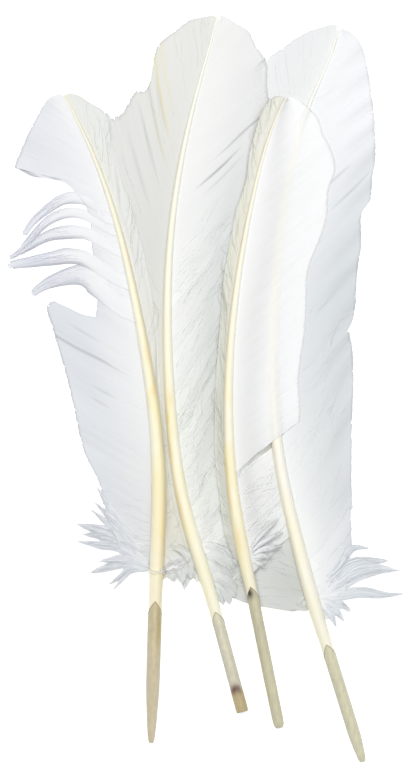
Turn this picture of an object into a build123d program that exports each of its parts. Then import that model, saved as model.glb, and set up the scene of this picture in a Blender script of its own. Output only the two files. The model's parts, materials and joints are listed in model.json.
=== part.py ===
"""Four uncut wing quills lying in a loose pile, underside up, each a whole feather.

+Z is up, +Y runs along the feathers towards their tips, and the origin is on the
surface that the pile lies on, under the middle of its outline. Sizes are in mm.
"""

from build123d import *
from dataclasses import dataclass
import os

os.makedirs("parts", exist_ok=True)

# Driving dimensions
BARREL_WALL = 0.5
PITH_SHARE = 0.7  # diameter of the pith over that of the shaft
DEPTH_SHARE = 0.95  # depth of a shaft over its width
TIP_SHARE = 0.15  # width of a shaft at its tip over its greatest width
SHOULDER = 0.08  # how far along a shaft its greatest width begins, 0 to 1
PLUG_LENGTH = 5.0  # pith that reaches down into the barrel
TONGUE_LENGTH = 5.0  # pointed end of the horn on the shaft's underside
TONGUE_SHARE = 0.8  # width of the tongue over the barrel's diameter
VANE_THICKNESS = 0.4
DOWN_THICKNESS = 0.7
BUNDLE_THICKNESS = 0.5  # a bundle of barbs that has come away from its vane
BUNDLE_WIDTH = 4.0
BUNDLE_TIP_WIDTH = 1.0
CAP_COUNT = 5
CAP_DEPTH = 1.6
CAP_THICKNESS = 0.25
STATIONS = [0, 0.04, SHOULDER, 0.2, 0.35, 0.5, 0.65, 0.8, 0.9, 1]
REACH = 120.0  # half the width that a vane's sheet is drawn over before it is cut out
HEADROOM = 40.0


@dataclass
class Quill:
    """One feather: where it lies and how thick it is.

    spine holds points of the shaft's centre line, from the barrel to the tip.
    straight is the length of barrel that is a true cylinder. taper_start is how far
    along the shaft its long taper begins, and drop is how far below the centre line
    the vanes spring, as a share of the shaft's depth.
    """

    name: str
    free_end: tuple
    spine: list
    barrel_radius: float
    end_radius: float
    straight: float
    open_end: bool
    shaft_width: float
    taper_start: float
    drop: float

    def __post_init__(self):
        barrel = Vector(*self.spine[0]) - Vector(*self.free_end)
        last_run = Vector(*self.spine[-1]) - Vector(*self.spine[-2])
        self.axis = barrel.normalized()
        self.barrel_length = barrel.length
        self.curve = Spline(*self.spine, tangents=(self.axis, last_run.normalized()))

    def width(self, along):
        """Width of the shaft at a share of its length."""
        barrel_width = 2 * self.barrel_radius
        if along < SHOULDER:
            return barrel_width + (self.shaft_width - barrel_width) * along / SHOULDER
        if along < self.taper_start:
            return self.shaft_width
        taper = (along - self.taper_start) / (1 - self.taper_start)
        return self.shaft_width * (1 - (1 - TIP_SHARE) * taper)

    def depth(self, along):
        """Depth of the shaft at a share of its length."""
        flattening = min(along / SHOULDER, 1)
        return self.width(along) * (1 - (1 - DEPTH_SHARE) * flattening)

    def section(self, along):
        """Plane square to the centre line, x across the shaft and y up its depth."""
        tangent = self.curve % along
        return Plane(origin=self.curve @ along, x_dir=tangent.cross(Vector(0, 0, 1)), z_dir=tangent)

    def vane_root(self, along):
        """Point where the vanes spring from the shaft."""
        return self.curve @ along - Vector(0, 0, self.drop * self.depth(along))


def shaft_body(quill, share):
    """Tapered oval rod along the whole shaft, at a share of its full size."""
    with BuildPart() as rod:
        for along in STATIONS:
            with BuildSketch(quill.section(along)):
                Ellipse(quill.width(along) * share / 2, quill.depth(along) * share / 2)
        loft()
    return rod.part


def barrel_blank(quill):
    """The room that the barrel and its bore take up."""
    with BuildPart() as blank:
        with BuildSketch(barrel_plane(quill)):
            Rectangle(quill.straight, quill.barrel_radius, align=Align.MIN)
        revolve(axis=Axis(quill.spine[0], quill.axis * -1))
    return blank.part


def tongue_wedge(quill):
    """Wedge that parts the horn's pointed tongue from the pale shaft around it."""
    half = quill.barrel_radius * TONGUE_SHARE
    top = Plane(origin=quill.spine[0], x_dir=(quill.axis.X, quill.axis.Y, 0), z_dir=(0, 0, 1))
    with BuildPart() as wedge:
        with BuildSketch(top):
            Polygon((-1, -half), (0, -half), (TONGUE_LENGTH, 0), (0, half), (-1, half), align=None)
        extrude(amount=HEADROOM)
    return wedge.part


def barrel_plane(quill):
    """Plane through the barrel's axis, x from the junction towards the free end."""
    return Plane(
        origin=quill.spine[0], x_dir=quill.axis * -1, z_dir=quill.axis.cross(Vector(0, 0, 1))
    )


def make_barrel(quill, tongue):
    """Hollow horn barrel, with the pointed tongue that runs up the shaft."""
    radius = quill.barrel_radius
    bore = radius - BARREL_WALL
    length = quill.barrel_length
    middle = (quill.straight + length) / 2
    middle_radius = (2 * radius + quill.end_radius) / 3
    with BuildPart() as barrel:
        with BuildSketch(barrel_plane(quill)):
            with BuildLine():
                outside = Spline(
                    (quill.straight, radius),
                    (middle, middle_radius),
                    (length - 1, quill.end_radius),
                    tangents=((1, 0), (1, -0.15)),
                )
                if quill.open_end:
                    Polyline(outside @ 1, (length, quill.end_radius - 0.1),
                             (length, quill.end_radius - BARREL_WALL), (quill.straight, bore))
                else:
                    Polyline(outside @ 1, (length, quill.end_radius * 0.6), (length, 0),
                             (length - 4 * quill.end_radius, 0), (middle, middle_radius * 0.7),
                             (quill.straight, bore))
                Polyline((quill.straight, bore), (0, bore), (0, radius), (quill.straight, radius))
            make_face()
        revolve(axis=Axis(quill.spine[0], quill.axis * -1))
        add(tongue)
    barrel.part.label = f"{quill.name}_barrel"
    return barrel.part


def make_pulp_caps(quill):
    """Dried caps of pulp, one behind another in the barrel's bore."""
    bore = quill.barrel_radius - BARREL_WALL
    pitch = (quill.straight - PLUG_LENGTH - 2 * CAP_DEPTH) / CAP_COUNT
    with BuildPart() as caps:
        for number in range(CAP_COUNT):
            crown = PLUG_LENGTH + CAP_DEPTH + number * pitch
            rim = crown + CAP_DEPTH
            with BuildSketch(barrel_plane(quill)):
                Polygon((crown, 0), (crown + CAP_THICKNESS, 0), (rim + CAP_THICKNESS, bore),
                        (rim, bore), align=None)
            revolve(axis=Axis(quill.spine[0], quill.axis * -1))
    caps.part.label = f"{quill.name}_pulp_caps"
    return caps.part


def make_pith(quill, core):
    """Foamy core of the shaft, with the plug that closes the top of the barrel."""
    bore = quill.barrel_radius - BARREL_WALL
    with BuildPart() as pith:
        add(core)
        with BuildSketch(barrel_plane(quill)):
            Polygon((0, 0), (0, bore), (PLUG_LENGTH - 1, bore), (PLUG_LENGTH, 0), align=None)
        revolve(axis=Axis(quill.spine[0], quill.axis * -1))
    pith.part.label = f"{quill.name}_shaft_pith"
    return pith.part


def vane_sheet(quill, slope, thickness):
    """Wide thin sheet through the vane roots, that rises by slope towards +X."""
    roots = [quill.vane_root(along) for along in STATIONS]
    heights = [(root.Y, root.Z - slope * (root.X + REACH)) for root in roots]
    foot = (quill.free_end[1], heights[0][1])
    head = (heights[-1][0] + 20, heights[-1][1])
    middle = [foot, *heights, head]
    lower = [(y, z - thickness / 2) for y, z in middle]
    upper = [(y, z + thickness / 2) for y, z in middle]
    with BuildPart() as sheet:
        with BuildSketch(Plane.YZ.offset(-REACH)):
            with BuildLine():
                under = Spline(*lower)
                over = Spline(*upper)
                Line(under @ 0, over @ 0)
                Line(under @ 1, over @ 1)
            make_face()
        extrude(amount=2 * REACH, dir=(1, 0, slope))
    return sheet.part


def make_vane(quill, side, sheet, base, runs, stem):
    """Vane whose outline goes from the shaft's tip round to a share base of its length.

    Each run of points is a smooth stretch, and two points make a straight one.
    """
    steps = 16
    inner = [quill.curve @ (base + (1 - base) * step / steps) for step in range(steps + 1)]
    with BuildPart() as vane:
        with BuildSketch():
            with BuildLine():
                tip = (inner[-1].X, inner[-1].Y)
                root = (inner[0].X, inner[0].Y)
                runs = [[tip, *runs[0]], *runs[1:]]
                for run in runs:
                    if len(run) == 2:
                        Line(*run)
                    else:
                        Spline(*run)
                Line(runs[-1][-1], root)
                Spline(*[(point.X, point.Y) for point in inner])
            make_face()
        extrude(amount=HEADROOM)
        add(sheet, mode=Mode.INTERSECT)
        add(stem, mode=Mode.SUBTRACT)
    whole = vane.part.solids().sort_by(SortBy.VOLUME)[-1]
    whole.label = f"{quill.name}_{side}_vane"
    return whole


def make_down(quill, side, sheet, outline, *neighbours):
    """Tuft of down at the foot of a vane, with ragged points."""
    with BuildPart() as down:
        with BuildSketch():
            Polygon(*outline, align=None)
        extrude(amount=HEADROOM)
        add(sheet, mode=Mode.INTERSECT)
        for neighbour in neighbours:
            add(neighbour, mode=Mode.SUBTRACT)
    down.part.label = f"{quill.name}_{side}_down"
    return down.part


def ribbon(points):
    """Outline of a strand that narrows from its root to its tip, as left and right edges."""
    path = Spline(*points)
    left = []
    right = []
    steps = 6
    for step in range(steps + 1):
        share = step / steps
        tangent = path % share
        half = (BUNDLE_WIDTH + (BUNDLE_TIP_WIDTH - BUNDLE_WIDTH) * share) / 2
        sideways = Vector(-tangent.Y, tangent.X, 0) * half
        left.append(path @ share + sideways)
        right.append(path @ share - sideways)
    return left, right


def make_loose_barbs(quill, sheet, strands, vane):
    """Bundles of barbs that curl away from a split in the vane."""
    with BuildPart() as barbs:
        with BuildSketch():
            for strand in strands:
                left, right = ribbon(strand)
                with BuildLine():
                    Spline(*left)
                    Spline(*right)
                    Line(left[0], right[0])
                    Line(left[-1], right[-1])
                make_face()
        extrude(amount=HEADROOM)
        add(sheet, mode=Mode.INTERSECT)
        add(vane, mode=Mode.SUBTRACT)
    barbs.part.label = f"{quill.name}_loose_barbs"
    return barbs.part


def make_quill(quill, left, right, slopes, downs):
    """All pieces of one feather but its loose barbs.

    left and right each hold where the vane ends on the shaft and its outline's runs.
    """
    outer = shaft_body(quill, 1)
    core = shaft_body(quill, PITH_SHARE)
    stem = outer + barrel_blank(quill)
    horn = outer - core
    wedge = tongue_wedge(quill)
    shaft = horn - wedge
    shaft.label = f"{quill.name}_shaft"
    pieces = [
        make_barrel(quill, horn & wedge),
        make_pulp_caps(quill),
        shaft,
        make_pith(quill, core),
    ]
    for side, (base, runs), slope, outline in zip(("left", "right"), (left, right), slopes, downs):
        vane = make_vane(quill, side, vane_sheet(quill, slope, VANE_THICKNESS), base, runs, stem)
        down_sheet = vane_sheet(quill, slope, DOWN_THICKNESS)
        pieces.append(vane)
        pieces.append(make_down(quill, side, down_sheet, outline, stem, vane))
    return pieces


def make_quill_1():
    """Leftmost feather, its left vane split and frayed."""
    quill = Quill(
        name="quill_1",
        free_end=(-24.4, -163.3, 2.25),
        spine=[
            (-22.6, -102.9, 4.1),
            (-21.5, -74, 5.3),
            (-20.8, -50, 6.1),
            (-21.9, -21.6, 6.3),
            (-24.6, 0, 6),
            (-31.7, 40.5, 5.1),
            (-42, 82, 4.3),
            (-55.2, 116.6, 3.7),
            (-64.6, 135.2, 3.5),
        ],
        barrel_radius=3.1,
        end_radius=1.3,
        straight=30,
        open_end=False,
        shaft_width=6.6,
        taper_start=0.22,
        drop=0.2,
    )
    left = (0.065, [
        [(-68.5, 135), (-72, 133), (-75.5, 128), (-82.5, 115), (-85.5, 108.5), (-88, 103.5)],
        [(-88, 103.5), (-87.5, 101), (-83.5, 100.5), (-75.5, 100.5), (-71, 99.5), (-66, 96), (-62.5, 93)],
        [(-62.5, 93), (-57, 87), (-53.5, 80.5), (-52, 72), (-51.5, 63.5), (-49.5, 55), (-49, 45), (-50, 33)],
        [(-50, 33), (-55, 34), (-61.5, 36.5), (-69, 40.5)],
        [(-69, 40.5), (-72, 39), (-72, 33.5)],
        [(-72, 33.5), (-68, 20), (-64, 6), (-59, -14.5), (-53.5, -33), (-48.5, -43), (-46, -54),
         (-42.5, -65.5), (-36.5, -77), (-29.5, -82)],
    ])
    right = (0.055, [
        [(-60.5, 135.5), (-58, 135), (-53.5, 132), (-48, 129), (-42.5, 125.5)],
        [(-42.5, 125.5), (-42, 116.5), (-39.5, 102.5), (-35, 86.5), (-29, 69), (-25, 49.5), (-21.5, 29),
         (-21, 13), (-20, -3), (-19, -17), (-17, -31), (-15.5, -44.5), (-13.5, -56), (-9.5, -70),
         (-6.5, -81), (-4, -89)],
        [(-4, -89), (-7, -92), (-11.5, -91), (-14.5, -89)],
    ])
    left_down = [(-46, -51.5), (-51.5, -56), (-48, -60.5), (-59, -63), (-51.5, -66.5), (-59, -71),
                 (-48, -72), (-39.5, -74), (-44, -77.5), (-52.5, -84.5), (-42.5, -83), (-35.5, -83.5),
                 (-43, -91.5), (-35, -88.5), (-28.5, -84), (-24, -87.5), (-22, -80), (-38, -60)]
    right_down = [(-20, -80), (-9, -84), (-5.5, -88), (-6, -94.5), (-9, -93), (-12, -95.5), (-15, -92.5),
                  (-17.5, -94), (-20, -91)]
    slopes = (0.07, -0.02)
    pieces = make_quill(quill, left, right, slopes, (left_down, right_down))
    strands = [
        [(-51, 83.5), (-60.5, 89.5), (-68.5, 88.5), (-77, 83), (-82, 76.5), (-84.5, 70), (-85.5, 65)],
        [(-48, 75.5), (-55, 78.5), (-62.5, 80.5), (-71, 79), (-77.5, 73), (-84, 66), (-91.5, 60.5)],
        [(-47.5, 67.5), (-56, 72), (-65, 73), (-73.5, 71), (-80.5, 65.5), (-89.5, 59)],
        [(-49, 55), (-54.5, 59.5), (-63.5, 61.5), (-72.5, 60.5), (-81.5, 58), (-91, 55)],
        [(-46.5, 47), (-53.5, 51.5), (-65, 52), (-74.5, 49), (-79, 46), (-82, 42.5)],
    ]
    left_vane = pieces[4]
    loose_sheet = vane_sheet(quill, slopes[0], BUNDLE_THICKNESS)
    return [*pieces, make_loose_barbs(quill, loose_sheet, strands, left_vane)]


def make_quill_2():
    """Second feather from the left, the longest reach to the top, its barrel cut open."""
    quill = Quill(
        name="quill_2",
        free_end=(17.7, -149, 2.8),
        spine=[
            (6.5, -107.5, 2.9),
            (-0.5, -83.7, 3.1),
            (-6.9, -63, 3.2),
            (-11.7, -42.3, 3.2),
            (-14.7, -17, 3.1),
            (-16.6, 6, 2.95),
            (-17, 28.5, 2.8),
            (-16.2, 64, 2.65),
            (-12.7, 90, 2.55),
            (-7.4, 120, 2.5),
            (-0.5, 146.7, 2.4),
            (6.2, 172, 2.4),
        ],
        barrel_radius=2.75,
        end_radius=2.7,
        straight=38,
        open_end=True,
        shaft_width=6.2,
        taper_start=0.12,
        drop=0.2,
    )
    left = (0.06, [
        [(-0.5, 171), (-6.5, 169.5), (-13.5, 164.5), (-18, 161.5), (-21.5, 158)],
        [(-21.5, 158), (-23.5, 151), (-25, 142.5), (-26, 139.5), (-28, 136.5)],
        [(-28, 136.5), (-32.5, 136.5), (-34, 134), (-36.5, 129), (-38.5, 124.5), (-44, 114), (-45, 102.5),
         (-42.5, 86.5), (-37.5, 68), (-33, 49.5), (-29.5, 31.5), (-26, 13), (-24, -5.5), (-22, -24),
         (-20, -42.5), (-18, -60.5), (-13.5, -77), (-6.5, -87.5)],
    ])
    right = (0.07, [
        [(10.5, 171), (16.5, 167), (20, 165), (23.5, 158.5), (25.5, 155.5), (28, 152.5), (29, 142),
         (29.5, 136)],
        [(29.5, 136), (29.5, 128), (27, 114), (24, 98), (21, 84), (18, 70.5), (15.5, 56.5), (13.5, 40.5),
         (12, 22), (11, 3.5), (10.5, -14.5), (11, -33), (12, -51.5), (14, -67.5), (13, -79), (10, -88.5)],
    ])
    left_down = [(-6.5, -79), (-11, -83.5), (-12, -89), (-8.5, -93), (-5, -91), (-3, -95), (0.5, -94),
                 (3, -90), (0, -80)]
    right_down = [(3.5, -77.5), (11, -82), (15.5, -86.5), (14, -92), (12.5, -99.5), (9, -97.5),
                  (8, -100.5), (4.5, -95.5), (2, -88)]
    return make_quill(quill, left, right, (0.02, 0.035), (left_down, right_down))


def make_quill_3():
    """Third feather, on top, from the other wing: its right vane is the broad one."""
    quill = Quill(
        name="quill_3",
        free_end=(34.7, -156.4, 2.35),
        spine=[
            (22.4, -96, 5.35),
            (18.2, -77, 6.2),
            (14.3, -56, 6.7),
            (12, -34, 6.9),
            (11, -10, 6.7),
            (11.7, 13, 6.4),
            (13.3, 33.6, 6),
            (16.1, 54.3, 5.7),
            (19.8, 75, 5.4),
            (24.2, 95.7, 5.1),
            (29.5, 114.5, 4.95),
            (37.7, 133.4, 4.8),
        ],
        barrel_radius=2.6,
        end_radius=2.2,
        straight=38,
        open_end=False,
        shaft_width=6.0,
        taper_start=0.09,
        drop=0.1,
    )
    left = (0.05, [
        [(33, 134.5), (29, 131.5), (24, 120.5), (20.5, 108), (19, 95.5), (15.5, 84), (12, 68), (9.5, 54.5),
         (8, 37.5), (6.5, 20), (5.5, 2.5), (5, -15.5), (5, -33), (7, -50.5), (9.5, -67.5), (14.5, -80)],
    ])
    right = (0.04, [
        [(43.5, 133), (48, 129.5), (52, 125.5), (54.5, 118.5), (58, 112), (60.5, 105), (60.5, 100.5),
         (58, 94), (57, 85.5), (56, 75.5), (51.5, 63.5), (48.5, 55), (47.5, 42), (46, 21.5), (44, 2.5),
         (44.5, -14.5), (41.5, -23), (36.5, -26.5)],
        [(36.5, -26.5), (32.5, -26), (26, -28.5), (20, -37)],
        [(20, -37), (25, -32.5), (28.5, -31.5)],
        [(28.5, -31.5), (29, -42.5), (31, -51.5), (33, -60.5), (34.5, -70), (31.5, -77.5), (26.5, -82)],
    ])
    left_down = [(16.5, -72.5), (11, -79), (8, -85.5), (12, -86), (13, -89.5), (17, -87), (19, -88.5),
                 (22, -82)]
    right_down = [(22, -72), (30.5, -73.5), (37, -75.5), (34.5, -80), (36.5, -83.5), (31, -84.5),
                  (28.5, -88), (24.5, -87), (21, -84)]
    return make_quill(quill, left, right, (0.03, -0.015), (left_down, right_down))


def make_quill_4():
    """Rightmost feather, at the bottom of the pile."""
    quill = Quill(
        name="quill_4",
        free_end=(73.1, -172, 2.8),
        spine=[
            (57.7, -122.5, 2.9),
            (51.8, -104, 3.3),
            (43.7, -73.6, 3.3),
            (37.2, -49, 3.1),
            (33.5, -26, 2.8),
            (31.5, 4, 2.5),
            (32.2, 37, 2.2),
            (35.4, 73, 1.9),
            (41.2, 108, 1.65),
            (48.3, 129, 1.55),
            (56.1, 150.4, 1.5),
            (61.9, 166, 1.5),
        ],
        barrel_radius=2.8,
        end_radius=1.6,
        straight=36,
        open_end=False,
        shaft_width=6.5,
        taper_start=0.09,
        drop=0.2,
    )
    left = (0.07, [
        [(61, 167), (53.5, 166.5), (48, 164.5), (39, 159), (31.5, 154)],
        [(31.5, 154), (27.5, 149), (26, 132.5), (23, 109.5), (19, 86.5), (14.5, 63.5), (11, 40.5),
         (8.5, 17.5), (8, -5.5), (8, -28.5), (8.5, -51.5), (9, -74.5), (11, -88.5), (13, -97)],
        [(13, -97), (26.5, -100.5), (45, -103)],
    ])
    right = (0.05, [
        [(66, 165), (71, 160.5), (73.5, 156), (76, 145.5), (78, 132), (79, 118.5), (79, 102), (78, 97.5),
         (76, 85.5), (73.5, 82.5), (72.5, 74), (72.5, 65.5), (70.5, 48.5), (69, 33.5), (66.5, 27.5)],
        [(66.5, 27.5), (68.5, 18), (68.5, -5.5), (68, -37.5), (68, -72.5), (67, -84.5), (64, -96.5),
         (59.5, -106)],
    ])
    left_down = [(46, -88.5), (39.5, -95), (37, -102), (41.5, -101), (44, -106), (47.5, -103),
                 (50.5, -108.5), (53.5, -110.5), (52, -100)]
    right_down = [(65, -72.5), (68, -72.5), (76.5, -73.5), (72.5, -76.5), (74, -80), (85, -80),
                  (89, -83.5), (76.5, -85.5), (72, -88.5), (79, -93.5), (91.5, -95), (73.5, -96),
                  (66.5, -97), (68, -103), (64, -101), (65.5, -106.5), (60.5, -104), (54.5, -111.5),
                  (52, -104)]
    return make_quill(quill, left, right, (0.025, -0.01), (left_down, right_down))


for piece in [*make_quill_1(), *make_quill_2(), *make_quill_3(), *make_quill_4()]:
    export_step(piece, f"parts/{piece.label}.step")
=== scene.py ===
"""Looks of a loose pile of four white wing quills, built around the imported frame.

Everything is in metres and in the frame's own axes: +Z up, +Y towards the feathers'
tips. Vanes are rows of real barbs traced from the shaft to the edge of the CAD vane.
"""

import json
import math

import bmesh
import bpy
import numpy as np
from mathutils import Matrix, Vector
from mathutils.bvhtree import BVHTree


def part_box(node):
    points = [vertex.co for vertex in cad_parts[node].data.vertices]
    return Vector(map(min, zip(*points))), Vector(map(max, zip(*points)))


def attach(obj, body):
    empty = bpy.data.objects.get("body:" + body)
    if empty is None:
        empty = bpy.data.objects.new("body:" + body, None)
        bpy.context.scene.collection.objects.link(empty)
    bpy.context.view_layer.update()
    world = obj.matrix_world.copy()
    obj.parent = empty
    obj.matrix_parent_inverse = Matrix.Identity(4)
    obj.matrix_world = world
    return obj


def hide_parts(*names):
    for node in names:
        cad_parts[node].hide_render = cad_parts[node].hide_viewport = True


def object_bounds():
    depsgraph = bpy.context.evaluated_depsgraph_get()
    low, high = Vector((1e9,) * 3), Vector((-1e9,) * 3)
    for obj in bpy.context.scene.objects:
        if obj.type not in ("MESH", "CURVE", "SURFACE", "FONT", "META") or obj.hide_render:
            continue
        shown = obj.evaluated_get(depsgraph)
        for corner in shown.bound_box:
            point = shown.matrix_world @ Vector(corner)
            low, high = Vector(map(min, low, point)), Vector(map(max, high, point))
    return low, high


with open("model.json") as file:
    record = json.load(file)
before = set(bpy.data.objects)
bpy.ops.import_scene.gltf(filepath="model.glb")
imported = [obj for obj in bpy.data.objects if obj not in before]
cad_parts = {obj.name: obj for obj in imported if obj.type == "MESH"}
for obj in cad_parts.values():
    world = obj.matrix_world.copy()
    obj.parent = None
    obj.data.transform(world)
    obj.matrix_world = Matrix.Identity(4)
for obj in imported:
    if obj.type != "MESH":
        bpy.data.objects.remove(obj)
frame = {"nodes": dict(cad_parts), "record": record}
CAD_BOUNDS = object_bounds()
MM = 0.001
DOWNWARD = Vector((0, 0, -1))
random = np.random.default_rng(11)

# Barbs and hairs: their thickness, how far the rib between two barbs stands up, how closely
# and how far a barb is traced, how deep in the shaft it starts as a share of the half width,
# how many steps it may take to find its vane, and how far it runs before it has turned.
BARB_THICKNESS = 0.22 * MM
RIB_HEIGHT = 0.06 * MM
HAIR_RADIUS = 0.07 * MM
HAIR_SIDES = 3
STEP = 0.8 * MM
LONGEST_BARB = 130 * MM
ROOT_DEPTH = 0.6
MOST_MISSES = 9
TURN_LENGTH = 14 * MM


# ---------------------------------------------------------------- reading the frame


def node_mesh(node):
    """Corners and triangles of a CAD node."""
    mesh = frame["nodes"][node].data
    mesh.calc_loop_triangles()
    corners = np.empty(len(mesh.vertices) * 3)
    mesh.vertices.foreach_get("co", corners)
    triangles = np.empty(len(mesh.loop_triangles) * 3, dtype=np.int32)
    mesh.loop_triangles.foreach_get("vertices", triangles)
    return corners.reshape(-1, 3), triangles.reshape(-1, 3)


def node_edges(node):
    """Corners of a CAD node, and the pairs of corners that its triangles' edges join."""
    corners, triangles = node_mesh(node)
    return corners, np.vstack([triangles[:, [0, 1]], triangles[:, [1, 2]], triangles[:, [2, 0]]])


def slice_points(corners, edges, levels, level):
    """Points where edges pass through one level, from the level of each corner."""
    a, b = edges.T
    crossing = (levels[a] - level) * (levels[b] - level) < 0
    a, b = a[crossing], b[crossing]
    share = (level - levels[a]) / (levels[b] - levels[a])
    return corners[a] + (corners[b] - corners[a]) * share[:, None]


def stem(quill):
    """The quill's mount: where its barrel starts, its axis and its radius."""
    mount = next(m for m in frame["record"]["mounts"] if m["name"].startswith(quill))
    axis = np.array(mount["axis"])
    length = mount["dims"]["length_mm"] * MM
    return np.array(mount["pos_m"]) - axis * length / 2, axis, mount["dims"]["r_mm"] * MM


def pile_level(share):
    """Y at a share of the pile's length, from the barrels' ends to the feathers' tips."""
    return CAD_BOUNDS[0][1] + (CAD_BOUNDS[1][1] - CAD_BOUNDS[0][1]) * share


class Sheet:
    """The plan shape and top height of a flat CAD node."""

    def __init__(self, node):
        corners, triangles = node_mesh(node)
        self.tree = BVHTree.FromPolygons(corners.tolist(), triangles.tolist())
        self.low = corners.min(0)
        self.high = corners.max(0)

    def height(self, x, y):
        """Height of the top at a point, or None outside the outline."""
        if not (self.low[0] <= x <= self.high[0] and self.low[1] <= y <= self.high[1]):
            return None
        hit = self.tree.ray_cast(Vector((x, y, 1)), DOWNWARD)[0]
        return None if hit is None else hit.z


class Shaft:
    """Centre line and size of a shaft, from slices of its CAD node square to +Y."""

    SLICES = 160
    END_GAP = 4 * MM
    TIP_GAP = 0.6 * MM
    HEADING_REACH = 3 * MM

    def __init__(self, quill):
        corners, edges = node_edges(f"{quill}_shaft")
        foot, _, radius = stem(quill)
        self.y = np.linspace(foot[1] + self.END_GAP, corners[:, 1].max() - self.TIP_GAP, self.SLICES)
        rows = []
        for y in self.y:
            points = slice_points(corners, edges, corners[:, 1], y)
            left, right = points[points[:, 0].argmin()], points[points[:, 0].argmax()]
            rows.append(((left[0] + right[0]) / 2, (left[2] + right[2]) / 2, (right[0] - left[0]) / 2))
        x, z, half = (smooth_row(row) for row in np.array(rows).T)
        run = np.sqrt(np.gradient(x) ** 2 + np.gradient(self.y) ** 2)
        half = half * np.gradient(self.y) / run
        self.x = np.concatenate([[foot[0]], x])
        self.y = np.concatenate([[foot[1]], self.y])
        self.z = np.concatenate([[foot[2]], z])
        self.half = np.concatenate([[radius], half])
        run = np.sqrt(np.diff(self.x) ** 2 + np.diff(self.y) ** 2)
        self.length = np.concatenate([[0], np.cumsum(run)])

    def at(self, distance, row):
        """Value of one of the rows at a distance along the shaft."""
        return np.interp(distance, self.length, row)

    def place(self, distance):
        """Point of the centre line at a distance along the shaft."""
        return np.array([self.at(distance, row) for row in (self.x, self.y, self.z)])

    def heading(self, distance):
        """Level direction of the shaft, towards its tip."""
        ahead = self.place(min(distance + self.HEADING_REACH, self.length[-1]))
        behind = self.place(max(distance - self.HEADING_REACH, 0))
        level = (ahead - behind)[:2]
        return level / np.linalg.norm(level)


def smooth_row(row, reach=4):
    """Row of numbers with its tessellation noise averaged out, its ends kept."""
    kernel = np.ones(2 * reach + 1) / (2 * reach + 1)
    before, after = 2 * row[0] - row[reach:0:-1], 2 * row[-1] - row[-2:-reach - 2:-1]
    padded = np.concatenate([before, row, after])
    return np.convolve(padded, kernel, "valid")


def smoothstep(low, high, value):
    """0 below low, 1 above high, and a smooth rise between them."""
    share = np.clip((value - low) / (high - low), 0, 1)
    return share * share * (3 - 2 * share)


def wander(count, knots):
    """Smooth random row between about -1 and 1, with a number of knots along it."""
    ends = np.linspace(0, 1, knots)
    values = random.uniform(-1, 1, knots)
    places = np.linspace(0, 1, count)
    index = np.clip(np.searchsorted(ends, places) - 1, 0, knots - 2)
    share = (places - ends[index]) * (knots - 1)
    share = share * share * (3 - 2 * share)
    return values[index] * (1 - share) + values[index + 1] * share


# ---------------------------------------------------------------- meshes


def face_outward(mesh):
    """Turns the faces of every closed shell outwards."""
    shells = bmesh.new()
    shells.from_mesh(mesh)
    bmesh.ops.recalc_face_normals(shells, faces=shells.faces)
    shells.to_mesh(mesh)
    shells.free()


def new_object(name, corners, faces, colours=None, strands=None, smooth=None, closed=True):
    """Mesh object, with a colour for each corner and its (along, across) place on a barb."""
    mesh = bpy.data.meshes.new(name)
    mesh.from_pydata([tuple(corner) for corner in corners], [], faces)
    mesh.polygons.foreach_set("use_smooth", [True] * len(faces) if smooth is None else smooth)
    if closed:
        face_outward(mesh)
    if colours is not None:
        layer = mesh.color_attributes.new("tint", "FLOAT_COLOR", "POINT")
        full = np.ones((len(corners), 4), np.float32)
        full[:, :3] = colours
        layer.data.foreach_set("color", full.ravel())
    if strands is not None:
        layer = mesh.uv_layers.new(name="strand")
        loops = np.empty(len(mesh.loops), dtype=np.int32)
        mesh.loops.foreach_get("vertex_index", loops)
        layer.data.foreach_set("uv", np.asarray(strands, np.float32)[loops].ravel())
    mesh.update()
    obj = bpy.data.objects.new(name, mesh)
    bpy.context.scene.collection.objects.link(obj)
    return obj


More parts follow.
